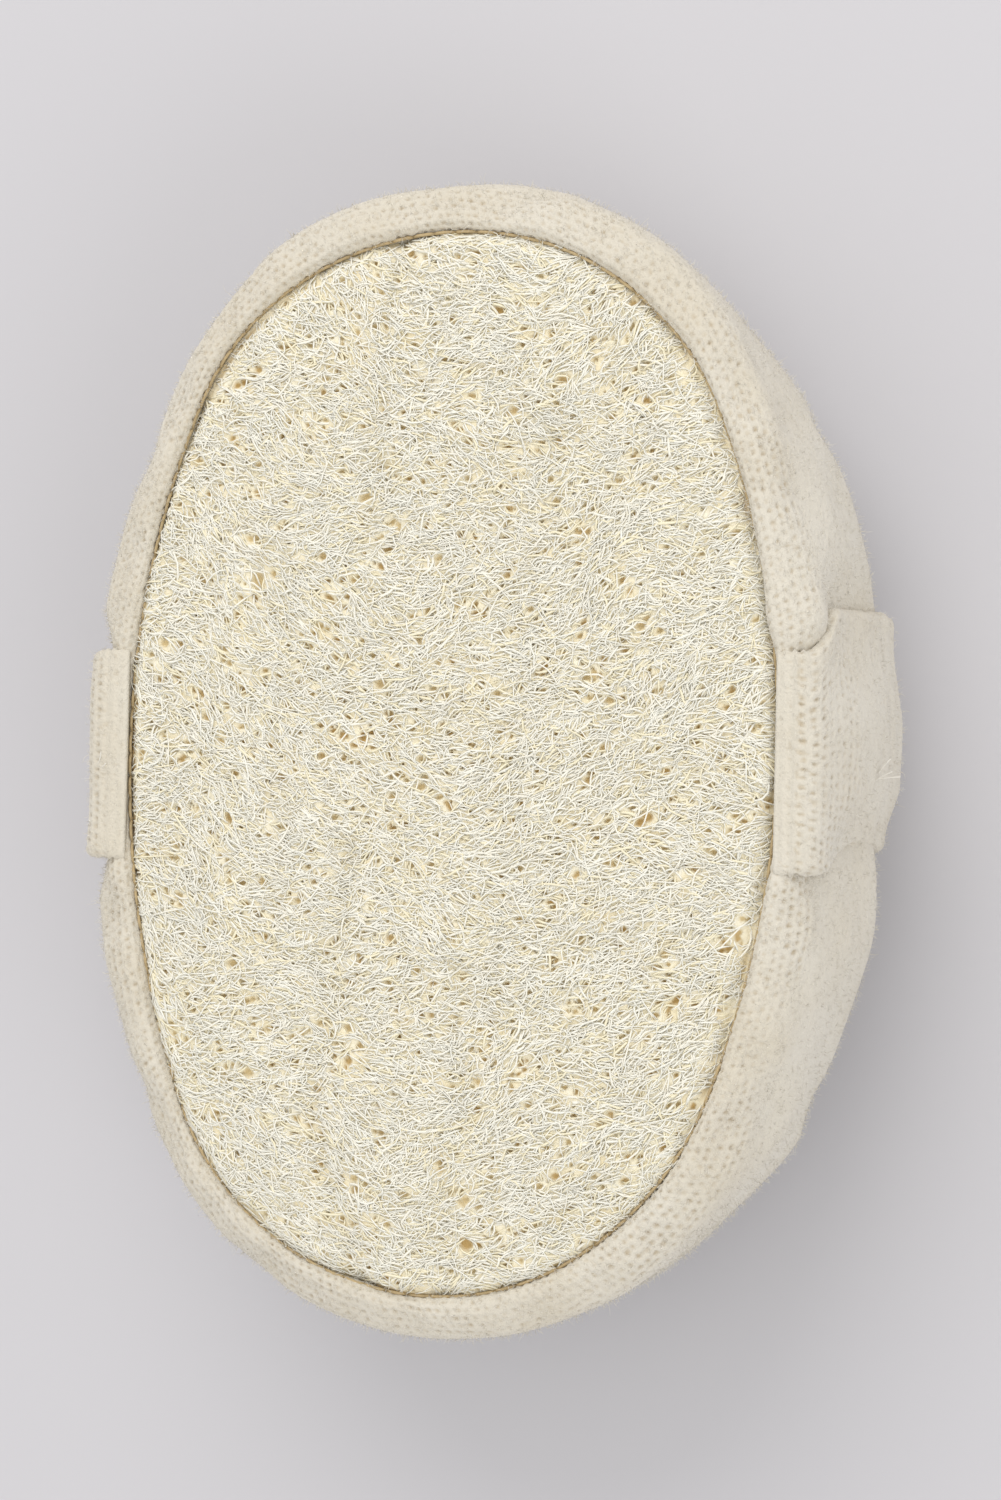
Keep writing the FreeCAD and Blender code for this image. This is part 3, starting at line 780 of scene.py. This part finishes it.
def pore_field():
    """A map of the pores over the face: 0 outside them, rising to 1 in their middles."""
    nx, ny = (int(2 * half / PORE_GRID) + 3 for half in (SEAM_HALF_WIDTH, SEAM_HALF_LENGTH))
    field = np.zeros((nx, ny))
    window = np.arange(-PORE_REACH, PORE_REACH + 1)
    for seed, (count, usual, varies, strength) in enumerate(PORES):
        x, y, rng = scatter(count, 50 + seed, 0.6 * MM)
        long = usual * np.exp(rng.normal(0, varies, len(x)))
        narrow = long * rng.uniform(0.45, 0.85, len(x))
        lie = fibre_lie(x, y) + rng.normal(0, 0.35, len(x))
        for px, py, a, b, turn in zip(x, y, long, narrow, lie):
            i, j = int((px + SEAM_HALF_WIDTH) / PORE_GRID), int((py + SEAM_HALF_LENGTH) / PORE_GRID)
            gi, gj = np.clip(i + window, 0, nx - 1), np.clip(j + window, 0, ny - 1)
            dx = (gi * PORE_GRID - SEAM_HALF_WIDTH - px)[:, None]
            dy = (gj * PORE_GRID - SEAM_HALF_LENGTH - py)[None, :]
            u, v = dx * math.cos(turn) + dy * math.sin(turn), dy * math.cos(turn) - dx * math.sin(turn)
            depth = strength * (1 - np.sqrt((u / a) ** 2 + (v / b) ** 2) / PORE_SOFTNESS)
            field[np.ix_(gi, gj)] = np.maximum(field[np.ix_(gi, gj)], depth)
    return field


def sample(field, x, y):
    """The map's value at some places."""
    i = np.clip(((x + SEAM_HALF_WIDTH) / PORE_GRID + 0.5).astype(int), 0, field.shape[0] - 1)
    j = np.clip(((y + SEAM_HALF_LENGTH) / PORE_GRID + 0.5).astype(int), 0, field.shape[1] - 1)
    return field[i, j]


def edge_groove(x, y):
    """The groove beside the seam, from 0 to 1: deepest where the left end of the strap pulls at it."""
    strap_pull = smooth((-x - 35 * MM) / (8 * MM)) * smooth((13 * MM - np.abs(y + 2 * MM)) / (5 * MM))
    patchy = 0.35 + 0.45 * noise(x, y, 4 * MM, 48) + 0.8 * strap_pull
    width = (0.5 + 0.5 * strap_pull) * MM
    return np.clip(patchy, 0, 1) * hump(inside_face(x, y), 0.1 * MM, width)


def make_loofah_mat(pores):
    """The closed mat that the fibre net lies on, sunk at each pore."""
    columns, rings = 960, 165
    along = seam.round(columns)
    rim = on_outline(along, np.full(columns, -0.1 * MM), np.zeros(columns))
    share = 1 - (1 - np.linspace(FIRST_RING, 1, rings)) ** 1.05
    x, y = rim[:, None, 0] * share, rim[:, None, 1] * share
    pore = sample(pores, x, y)
    groove = edge_groove(x, y)
    height = face_height(x, y) - 0.22 * MM - 0.6 * MM * smooth(pore * 1.6) - 0.4 * MM * groove
    top = np.stack([x, y, height], -1)
    low_z = SEAM_Z - 4.6 * MM
    low = flat_rings(x, y, 16, low_z)
    points = np.concatenate([top, low], 1)
    middle_z = face_height(np.zeros(1), np.zeros(1))[0]
    piece = disc_grid("loofah_mat", points, (0, 0, middle_z), (0, 0, low_z))
    # Colour mask: the pores and the groove beside the seam, tinted tan and gold, partly painted shade
    attribute = np.concatenate([np.maximum(pore, 0.75 * groove), np.zeros(low.shape[:2])], 1)
    set_attribute(piece, "pore", np.concatenate([attribute.ravel(), [0, 0]]))
    piece.data.materials.append(loofah_base_material())
    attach(piece, "pad")
    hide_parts("loofah_face")


NET_STEPS = 5
NET_FIBRES = 7400  # in each layer
TRIED = 2.2  # fibres laid out for each one kept, as those over pores are left out
# The tone shares lean to straw in the deep layers and to pale on top: painted shade, over the fibres' own
# varied tones.
NET_LAYERS = [
    # name, length, thickness and height over the mat in mm, reach into a pore, shares of the three tones
    ("deep", 4.4, 0.30, -0.12, 0.5, (0.0, 0.45, 0.55)),
    ("low", 4.1, 0.27, -0.06, 0.32, (0.15, 0.5, 0.35)),
    ("middle", 3.8, 0.23, 0.0, 0.25, (0.35, 0.5, 0.15)),
    ("upper", 3.6, 0.20, 0.07, 0.2, (0.55, 0.4, 0.05)),
    ("top", 3.4, 0.18, 0.14, 0.15, (0.7, 0.3, 0.0)),
]


def fibre_lines(x, y, turn, span):
    """Lines with their middles at x, y: turn is each step's direction, and span each line's length."""
    step = span[:, None] / turn.shape[1]
    dx, dy = np.cos(turn) * step, np.sin(turn) * step
    lx = x[:, None] + np.cumsum(dx, 1) - dx.sum(1, keepdims=True) / 2
    ly = y[:, None] + np.cumsum(dy, 1) - dy.sum(1, keepdims=True) / 2
    return lx, ly


def make_net_layer(number, layer, pores, tones):
    """One layer of the fibre net. Its fibres follow the lie, bow, dive at both ends and avoid the pores."""
    name, length, thickness, over, reach_in, depth_shaded_tone_shares = layer
    x, y, rng = scatter(int(TRIED * NET_FIBRES), 60 + number, 0.2 * MM)
    lie = fibre_lie(x, y) + rng.normal(0, 0.45, len(x)) + np.where(rng.random(len(x)) < 0.14, 1.3, 0)
    bow = rng.normal(0, 0.6, len(x))
    span = length * MM * np.exp(rng.normal(0, 0.35, len(x)))
    step = np.linspace(-0.5, 0.5, NET_STEPS)
    lx, ly = fibre_lines(x, y, lie[:, None] + bow[:, None] * step * 2, span)
    clear = (sample(pores, lx, ly).max(1) < reach_in) & (inside_face(lx, ly).min(1) > -0.8 * MM)
    lx, ly = lx[clear][:NET_FIBRES], ly[clear][:NET_FIBRES]
    count = len(lx)
    lift = over * MM + rng.normal(0, 0.1, (count, 1)) * MM
    dive = 0.35 * MM * np.abs(2 * step) ** 2.5 * rng.uniform(0.4, 1.4, (count, 1))
    weave = 0.1 * MM * np.sin(step * 9 + rng.uniform(0, 6.3, (count, 1)))
    lz = face_height(lx, ly) + lift - dive + weave - 0.5 * MM * edge_groove(lx, ly)
    taper = 1 - 0.4 * np.abs(2 * step) ** 3
    radii = thickness / 2 * MM * np.exp(rng.normal(0, 0.2, (count, 1))) * taper
    # the three tones are the fibres' own varied colour; their lean by layer is painted shade
    chosen = rng.choice(3, count, p=depth_shaded_tone_shares)
    piece = fibres(f"loofah_net_{name}", np.stack([lx, ly, lz], -1), radii, UP, 3, chosen)
    for tone in tones:
        piece.data.materials.append(tone)
    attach(piece, "pad")


def make_loofah():
    """The loofah face: its mat with the pores, and the fibre net over it."""
    pores = pore_field()
    make_loofah_mat(pores)
    tones = [plain(f"fibre_{name}", colour) for name, colour in FIBRE_TONES.items()]
    for number, layer in enumerate(NET_LAYERS):
        make_net_layer(number, layer, pores, tones)


# -------- strap

STRAP_THICK = 2.7 * MM
STRAP_ROW = 1.6 * MM
STRAP_GAP = 0.3 * MM  # between the strap and the band that it lies against
BACK_TURN = 14 * MM  # radius of the turn from the back to a side
ARCH = 220 * MM  # radius of the long arch across the back
SOFTENINGS = 12  # times that the middle line's corners are rounded off
ENDS_WIDTH = 30.2 * MM  # the strap is gathered to this width where it enters the seam
GATHER_LENGTH = 75 * MM  # from its end to where it has its full width
FLAT_MESH = 0.4 * MM  # spacing of the sleeve's mesh


def strap_crown(across, right):
    """How far the strap stands off the pad's sides: more on the right, where its lower edge curls in."""
    rise = -0.9 + 1.8 * smooth((14 * MM - across) / (14 * MM)) - 2.4 * smooth((-7 * MM - across) / (9 * MM))
    return MM * (right * rise - (1 - right) * 0.3)


def swing(cx, cz, radius, first, last):
    """An arc of the route, between two angles."""
    angles = np.linspace(first, last, 60)
    return np.stack([cx + radius * np.cos(angles), cz + radius * np.sin(angles)], -1)


def half_route(facing, inset):
    """The strap's middle line on one side in the XZ plane, from the middle of the back up to the seam."""
    line, reach = fine_section()
    out = SEAM_HALF_WIDTH + band_out(line, np.zeros(1))[0]
    band = np.stack([out, SEAM_Z - line[:, 3]], -1)
    widest = int(np.argmax(out))
    lift = (STRAP_THICK / 2 + STRAP_GAP - STRAP_PRESS) * smooth((reach - 1 * MM) / (3 * MM))
    forward = unit(np.gradient(band, axis=0))
    hugging = band + np.stack([-forward[:, 1], forward[:, 0]], -1) * lift[:, None]
    start = int(np.argmax(reach > 3.4 * MM + inset))
    hugging = hugging[widest:start:-1]
    side_x = hugging[0, 0]
    low = strap_low[2] + STRAP_THICK / 2 + 0.35 * MM
    arch_z = low + ARCH
    corner_x = side_x - BACK_TURN
    corner_z = arch_z - math.sqrt((ARCH - BACK_TURN) ** 2 - corner_x**2)
    slope = math.atan2(corner_z - arch_z, corner_x)
    seam_x = SEAM_HALF_WIDTH + float(wander(facing)) + inset
    return np.vstack([
        swing(0, arch_z, ARCH, -math.pi / 2, slope),
        swing(corner_x, corner_z, BACK_TURN, slope, 0)[1:],
        hugging,
        [(seam_x, SEAM_Z - 0.2 * MM)],
    ])


def strap_route(inset=0.0):
    """The strap's middle line in the XZ plane, from its left end round the back to its right end."""
    left = half_route(math.pi, inset)[:0:-1] * np.array([-1, 1])
    return np.vstack([left, half_route(0, inset)])


def reach_along(points):
    """Distances along a line of points, from its first one."""
    return np.concatenate([[0], np.cumsum(np.linalg.norm(np.diff(points, axis=0), axis=1))])


def route_frame(route, step):
    """Points a step apart along a route, their distances along it and the outward direction at each."""
    reach = reach_along(route)
    at = np.linspace(0, reach[-1], int(reach[-1] / step) + 1)
    line = np.stack([np.interp(at, reach, route[:, 0]), np.interp(at, reach, route[:, 1])], -1)
    for _ in range(SOFTENINGS):
        line[1:-1] = (line[:-2] + 2 * line[1:-1] + line[2:]) / 4
    forward = unit(np.gradient(line, axis=0))
    outward = np.stack([forward[:, 1], -forward[:, 0]], -1)
    return line, at, outward


def strap_drift(at, total, across):
    """The strap leans towards +Y as it goes down the right side, its upper edge sooner than its lower one."""
    from_right = (total - at)[:, None]
    upper = smooth(0.5 + across / STRAP_WIDTH)[None, :]
    lower_lean = 5.0 * smooth((from_right - 6 * MM) / (16 * MM))
    upper_lean = 6.3 * smooth((from_right - 4 * MM) / (8 * MM))
    lean = upper * upper_lean + (1 - upper) * lower_lean
    return MM * lean * (1 - smooth((from_right - 32 * MM) / (60 * MM)))


def section_ring(half_width, half_thick, step):
    """A flat section with round edges: places across it and out from its middle."""
    straight = half_width - half_thick
    flat = np.linspace(-straight, straight, int(2 * straight / step))
    bend = max(6, int(math.pi * half_thick / step))
    turn = np.linspace(math.pi / 2, -math.pi / 2, bend + 2)[1:-1]
    edge_x, edge_z = half_thick * np.cos(turn), half_thick * np.sin(turn)
    across = np.concatenate([flat, straight + edge_x, flat[::-1], -straight - edge_x])
    out = np.concatenate([flat * 0 + half_thick, edge_z, flat * 0 - half_thick, -edge_z])
    return across, out


def strap_surface(half_width, thick, step, route_inset=0.0):
    """The strap's plain points, with their distances from its left end, across it and from its nearest end."""
    line, at, outward = route_frame(strap_route(route_inset), step)
    total = at[-1]
    across, out = section_ring(half_width, thick / 2, step)
    from_end = np.minimum(at, total - at)[:, None]
    flatten = 0.4 + 0.6 * smooth(from_end / (6 * MM))
    narrow = ENDS_WIDTH / STRAP_WIDTH
    gathered = narrow + (1 - narrow) * smooth(from_end / GATHER_LENGTH)
    width = gathered * (1 + 0.02 * noise(at, at * 0, 13 * MM, 71)[:, None])
    y = across[None, :] * width + strap_drift(at, total, across)
    right = smooth((at - total / 2) / (20 * MM))[:, None]
    down_side = smooth((from_end - 4 * MM) / (12 * MM)) * (1 - smooth((from_end - 36 * MM) / (14 * MM)))
    crown = down_side * strap_crown(across[None, :], right)
    lumps = 0.3 * MM * noise(at[:, None] * 1.4, across[None, :], 9 * MM, 73) * smooth(from_end / (8 * MM))
    lumps = lumps * (1 - smooth((from_end - 45 * MM) / (20 * MM)) * 0.6)
    o = out[None, :] * flatten + crown + np.maximum(lumps, -0.1 * MM)
    x = line[:, None, 0] + outward[:, None, 0] * o
    z = line[:, None, 1] + outward[:, None, 1] * o
    return np.stack([x, y, z], -1), at, across, from_end


def make_strap_sleeve():
    """The terry sleeve: loops all over, knit holes and ribs near its ends, and gathers along its back."""
    points, at, across, from_end = strap_surface(STRAP_WIDTH / 2, STRAP_THICK, FLAT_MESH)
    around = np.roll(points, -1, 1) - np.roll(points, 1, 1)
    normals = unit(np.cross(np.gradient(points, axis=0), around))
    middle = points.shape[0] // 2
    lowest = np.argmin(points[middle, :, 2])
    if normals[middle, lowest, 2] > 0:
        normals = -normals

    girth = reach_along(points[middle])[None, :]
    rows = at[:, None] + 0 * girth

    def uneven(size, seed):
        return noise(rows, girth, size, seed)

    border = 1 - smooth((from_end - 14 * MM) / (6 * MM) + 0.5 * uneven(9 * MM, 79))
    wave = 0.3 * MM * noise(girth, rows, 12 * MM, 76)
    holes = knit_holes(girth + 0.2 * MM * uneven(10 * MM, 75), rows + wave, KNIT_PITCH, STRAP_ROW, 77)
    holes = holes * border * (0.85 + 0.4 * uneven(8 * MM, 83)) * smooth((from_end - 2 * MM) / (1.5 * MM))
    pile = loops(girth, rows, LOOP_PITCH, 0.9, 78)
    ribs = np.cos(2 * math.pi * from_end / (1.2 * MM)) * hump(from_end, 2.6 * MM, 1.8 * MM)
    gathers = np.cos(2 * math.pi * (rows + 1.2 * MM * noise(rows * 0, girth, 8 * MM, 80)) / (6.5 * MM))
    gathers = gathers * smooth((from_end - 20 * MM) / (12 * MM)) * (0.6 + 0.4 * uneven(15 * MM, 81))
    height = 0.18 * MM * (pile - 0.6) - 0.45 * MM * holes + 0.25 * MM * ribs + 0.2 * MM * gathers
    shown = smooth(from_end / (0.8 * MM))
    points = points + normals * (height * shown)[..., None]
    points[..., 2] = np.maximum(points[..., 2], strap_low[2] + 0.05 * MM)

    piece = tube_grid("strap_cover", points)
    # painted shade: darker in the grooves between the ribs, in the hollows between loops and in the knit's
    # holes
    groove = np.clip(-ribs, 0, 1) * 0.5
    set_attribute(piece, "relief", np.clip(0.45 + 0.55 * pile - 0.8 * holes - groove, 0, 1))
    set_attribute(piece, "hole", holes)
    piece.data.materials.append(terry_material("strap_cloth"))
    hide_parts("strap_sleeve")
    on_strap(piece)
    make_wisps(points, normals, at, across)
    return points, normals, from_end, across


def make_strap_elastic():
    """The woven elastic, which follows the same route inside the sleeve."""
    low, high = box("strap_elastic")
    half_width = (high[1] - low[1]) / 2
    points = strap_surface(half_width, 0.9 * MM, 1.0 * MM, 1.0 * MM)[0]
    piece = tube_grid("elastic_band", points)
    p = Painter("woven_elastic", roughness=0.6)
    p.colour(p.ramp(p.noise(300, 3, (1, 8, 1)), [(0.35, (0.74, 0.73, 0.70)), (0.65, (0.86, 0.85, 0.82))]))
    p.bump(p.noise(900, 2, (1, 12, 1)), 0.0002)
    piece.data.materials.append(p.material)
    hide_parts("strap_elastic")
    on_strap(piece)


def on_strap(piece):
    """Keeps a strap piece where it stands, with its placement baked into its mesh."""
    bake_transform(piece)


# Loose thread ends: how far from the strap's end and across it in mm, on which side, and which way each points
WISPS = [
    (23, -7.0, 1, (0.5, 0.9, 0.3)),
    (23, -7.4, 1, (1.0, 0.15, 0.3)),
    (22, -7.8, 1, (0.7, 0.5, 0.5)),
    (4.5, -2.6, -1, (0.8, 0.25, 0.5)),
    (4.5, -2.4, -1, (0.6, 0.7, 0.4)),
]


def make_wisps(points, normals, at, across):
    """Short ends of sewing thread that stand out of the strap."""
    lines = []
    for reach, sideways, side, way in WISPS:
        row = np.argmin(np.abs(at - (at[-1] - reach * MM if side > 0 else reach * MM)))
        outer = (normals[row, :, 0] * side + normals[row, :, 2]) > 0
        column = np.argmin(np.abs(across - sideways * MM) + np.where(outer, 0, 1))
        root, up = points[row, column], normals[row, column]
        way = unit(np.array(way))
        steps = np.linspace(0, 1, 6)[:, None]
        lines.append(root - 0.2 * MM * up + 3.0 * MM * steps * way + 0.7 * MM * steps**2 * up)
    lines = np.array(lines)
    radii = np.full(lines.shape[:2], 0.09 * MM)
    piece = fibres("loose_threads", lines, radii, UP, 5)
    piece.data.materials.append(plain("loose_thread_cotton", (0.80, 0.77, 0.70), 0.8))
    on_strap(piece)


# -------- fuzz


HAIRS = 14000  # on each terry surface
HAIR_LENGTH = 0.7 * MM


def fuzz(name, points, normals, keep, seed):
    """Short bent hairs that stand out of a terry surface given as a grid of points."""
    rng = np.random.default_rng(seed)
    where = np.argwhere(keep)
    chosen = where[rng.integers(0, len(where), HAIRS)]
    root, up = points[chosen[:, 0], chosen[:, 1]], normals[chosen[:, 0], chosen[:, 1]]
    root = root + rng.normal(0, 0.15 * MM, root.shape)
    drift = unit(rng.normal(0, 1, root.shape))
    first = unit(up + 1.1 * drift)
    second = unit(first + 0.9 * unit(rng.normal(0, 1, root.shape)))
    long = HAIR_LENGTH * np.exp(rng.normal(0, 0.35, (HAIRS, 1)))
    bend = root + first * long * 0.55
    lines = np.stack([root - 0.1 * MM * up, bend, bend + second * long * 0.45], 1)
    lines[..., 2] = np.maximum(lines[..., 2], strap_low[2] + 0.1 * MM)
    radii = np.array([0.03, 0.026, 0.016]) * MM * np.exp(rng.normal(0, 0.2, (HAIRS, 1)))
    piece = fibres(name, lines, radii, unit(np.cross(up, drift)), 3, rng.integers(0, len(HAIR_TONES), HAIRS))
    for tone, colour in HAIR_TONES.items():
        piece.data.materials.append(plain(f"{name}_{tone}", colour, 0.9, 0.4))
    return piece


# -------- thread


STITCH_PITCH = 3.2 * MM
STITCH_DIP = 0.35 * MM
STITCH_SHARE = 0.95  # of the pitch, the part that the thread shows
SEAM_THICK = 0.5 * MM
TACK_THICK = 0.4 * MM
TACK_HALF = 13 * MM
SLEEVE_STITCH = 8  # points of the sleeve's mesh in each stitch of its own seam
TACK_OUT = 1.6 * MM
TACK_DROP = 2.2 * MM
# The front seam's thread is darker than the plain thread: its own tan with painted shade of the groove it lies
# in.
GROOVE_SHADED_THREAD = (0.57, 0.44, 0.25)
PLAIN_THREAD = (0.66, 0.60, 0.47)


def thread_material(name, colour):
    """Sewing cotton, a little darker in random patches."""
    p = Painter(name, roughness=0.8)
    darker = tuple(0.8 * c for c in colour)
    p.colour(p.ramp(p.noise(900, 3), [(0.35, darker), (0.65, colour)]))
    p.bump(p.noise(2500, 2, (1, 1, 3)), 0.0001)
    return p.material


def stitch_rows(start):
    """A row of distances along the seam for each stitch, from where it starts."""
    return start[:, None] + np.linspace(0, STITCH_SHARE, 6) * STITCH_PITCH


def thread_piece(node, lines, thick, side, colour):
    """One mesh of stitches that stands for a thread of the CAD model."""
    radii = np.full(lines.shape[:2], thick / 2)
    piece = fibres(f"{node}_stitches", lines, radii, side, 6)
    piece.data.materials.append(thread_material(f"{node}_cotton", colour))
    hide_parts(node)
    return piece


def stitches(node, along, out, height, dip, thick, colour, stray):
    """Stitches on the pad, each a short thread whose ends lie dip deeper. along has a row for each stitch."""
    sunk = dip * np.linspace(-1, 1, along.shape[1]) ** 4
    lines = on_outline(along, out + 0 * along, height - sunk + 0 * along, stray)
    piece = thread_piece(node, lines, thick, UP, colour)
    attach(piece, "pad")


def make_seam_thread(node, edge, height, dip, colour, stray):
    """The stitches round the pad. edge gives how far out the seam lies, from the way it faces."""
    count = int(seam.perimeter / STITCH_PITCH)
    along = stitch_rows(seam.round(count))
    stitches(node, along, edge(seam.facing(along)), height, dip, SEAM_THICK, colour, stray)


def make_tack(node, middle):
    """The short extra row of stitches at one end of the strap, sunk into the cloth under the strap's welt."""
    along = stitch_rows(middle + np.arange(-TACK_HALF, TACK_HALF, STITCH_PITCH))
    stitches(node, along, TACK_OUT, SEAM_Z - TACK_DROP, STITCH_DIP, TACK_THICK, PLAIN_THREAD, 1)


def make_sleeve_thread(points, across):
    """The stitches that close the sleeve, along its lower edge across the back."""
    reach = box("strap_sleeve_thread")[1][0]
    edge = points[:, np.argmin(across)]
    on_back = np.flatnonzero((np.abs(edge[:, 0]) < reach) & (edge[:, 2] < BACK_SEAM_Z))
    starts = on_back[:-SLEEVE_STITCH:SLEEVE_STITCH]
    lines = edge[starts[:, None] + np.arange(SLEEVE_STITCH)]
    piece = thread_piece("strap_sleeve_thread", lines, TACK_THICK, (0, 1.0, 0), PLAIN_THREAD)
    on_strap(piece)


# -------- hidden CAD parts keep their own shape


def finish_cad_nodes():
    """Materials for the parts inside the pad."""
    foam = Painter("open_cell_foam", roughness=0.95)
    # painted shade: darker in the middle of each cell, where the foam's hollows are
    foam.colour(foam.ramp(foam.cells(900), [(0.1, (0.55, 0.50, 0.38)), (0.6, (0.82, 0.79, 0.68))]))
    foam.bump(foam.cells(900), 0.0006)
    cotton = thread_material("cotton_thread", (0.80, 0.74, 0.62))
    for node, material in (("foam_core", foam.material), ("band_join_thread", cotton)):
        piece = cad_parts[node]
        if piece.material_slots:
            for material_slot in piece.material_slots:
                material_slot.material = material
        else:
            piece.data.materials.append(material)


# -------- stage, light and camera

CAMERA_SIDEWAYS = math.radians(17.7)
CAMERA_DOWNWARDS = math.radians(-1.7)
CAMERA_ROLL = math.radians(1.3)
CAMERA_DISTANCE = 0.50
CAMERA_LENS = 82.8  # focal length in mm
LOOK_AT_HEIGHT = 36 * MM
LOOK_RIGHT = 3.7 * MM
LOOK_UP = 1.7 * MM


def make_camera():
    """The camera nearly over the loofah face, a little to its right and rolled a little."""
    data = bpy.data.cameras.new("camera")
    data.lens = CAMERA_LENS
    data.clip_start = 0.01
    camera = bpy.data.objects.new("camera", data)
    bpy.context.scene.collection.objects.link(camera)
    back = Vector((
        math.sin(CAMERA_SIDEWAYS) * math.cos(CAMERA_DOWNWARDS),
        math.sin(CAMERA_DOWNWARDS),
        math.cos(CAMERA_SIDEWAYS) * math.cos(CAMERA_DOWNWARDS),
    ))
    right = Vector((0, 1, 0)).cross(back).normalized()
    up = back.cross(right)
    rolled_right = right * math.cos(CAMERA_ROLL) + up * math.sin(CAMERA_ROLL)
    rolled_up = up * math.cos(CAMERA_ROLL) - right * math.sin(CAMERA_ROLL)
    aim = Vector((0, 0, LOOK_AT_HEIGHT)) + rolled_right * LOOK_RIGHT + rolled_up * LOOK_UP
    turned = Matrix((rolled_right, rolled_up, back)).transposed()
    camera.matrix_world = Matrix.Translation(aim + back * CAMERA_DISTANCE) @ turned.to_4x4()
    bpy.context.scene.camera = camera


def make_light(name, place, size, energy, colour):
    """A round soft light that faces the middle of the pad."""
    data = bpy.data.lights.new(name, "AREA")
    data.shape = "DISK"
    data.size = size
    data.energy = energy
    data.color = colour
    light = bpy.data.objects.new(name, data)
    light.location = place
    light.rotation_mode = "QUATERNION"
    light.rotation_quaternion = (-Vector(place)).to_track_quat("-Z", "Y")
    bpy.context.scene.collection.objects.link(light)


def make_stage():
    """The pale floor, the studio's even light and its two lamps."""
    size = 1.6
    floor_corners = [(-size, -size, 0), (size, -size, 0), (size, size, 0), (-size, size, 0)]
    floor = mesh_object("floor", floor_corners, range(4), [4])
    p = Painter("pale_floor", roughness=0.7)
    p.colour((0.575, 0.565, 0.59))
    floor.data.materials.append(p.material)
    world = bpy.data.worlds.new("studio")
    world.use_nodes = True
    background = world.node_tree.nodes["Background"]
    background.inputs["Color"].default_value = (1.0, 0.995, 0.985, 1)
    background.inputs["Strength"].default_value = 0.87
    bpy.context.scene.world = world
    make_light("key", (-0.15, 1.05, 0.95), 1.2, 8.5, (1.0, 0.98, 0.95))
    make_light("fill", (0.8, -0.7, 0.9), 0.9, 4.0, (0.98, 0.99, 1.0))
    bpy.context.scene.view_settings.view_transform = "Standard"


# -------- build

make_camera()
make_stage()
make_loofah()

cover_points, cover_normals, cover_at = make_side_band()
seen = (cover_at > 1.5 * MM) & (cover_at < cover_at[-1] - 2 * MM)
seen = seen[None, :] & (under_strap(cover_points, 0) < 0.5)
for name, seed in (("band_fuzz_a", 91), ("band_fuzz_b", 94)):
    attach(fuzz(name, cover_points, cover_normals, seen, seed), "pad")

back_points, back_normals = make_back_panel()
sleeve_thread_y = box("strap_sleeve_thread")[0][1]
under_thread = np.abs(back_points[..., 1] - sleeve_thread_y) < 2.5 * MM
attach(fuzz("back_fuzz", back_points, back_normals, ~under_thread, 92), "pad")

sleeve_points, sleeve_normals, sleeve_from_end, sleeve_across = make_strap_sleeve()
seen = np.broadcast_to(sleeve_from_end > 0.5 * MM, sleeve_points.shape[:2])
on_strap(fuzz("strap_fuzz", sleeve_points, sleeve_normals, seen, 93))

make_strap_elastic()
make_seam_thread("front_seam_thread", np.zeros_like, SEAM_Z - 1.1 * MM, STITCH_DIP, GROOVE_SHADED_THREAD, 1)
make_seam_thread("back_seam_thread", back_edge, BACK_SEAM_Z - 0.75 * MM, -STITCH_DIP, PLAIN_THREAD, 0)
make_sleeve_thread(sleeve_points, sleeve_across)
make_tack("strap_tack_right", 0)
make_tack("strap_tack_left", seam.perimeter / 2)
finish_cad_nodes()
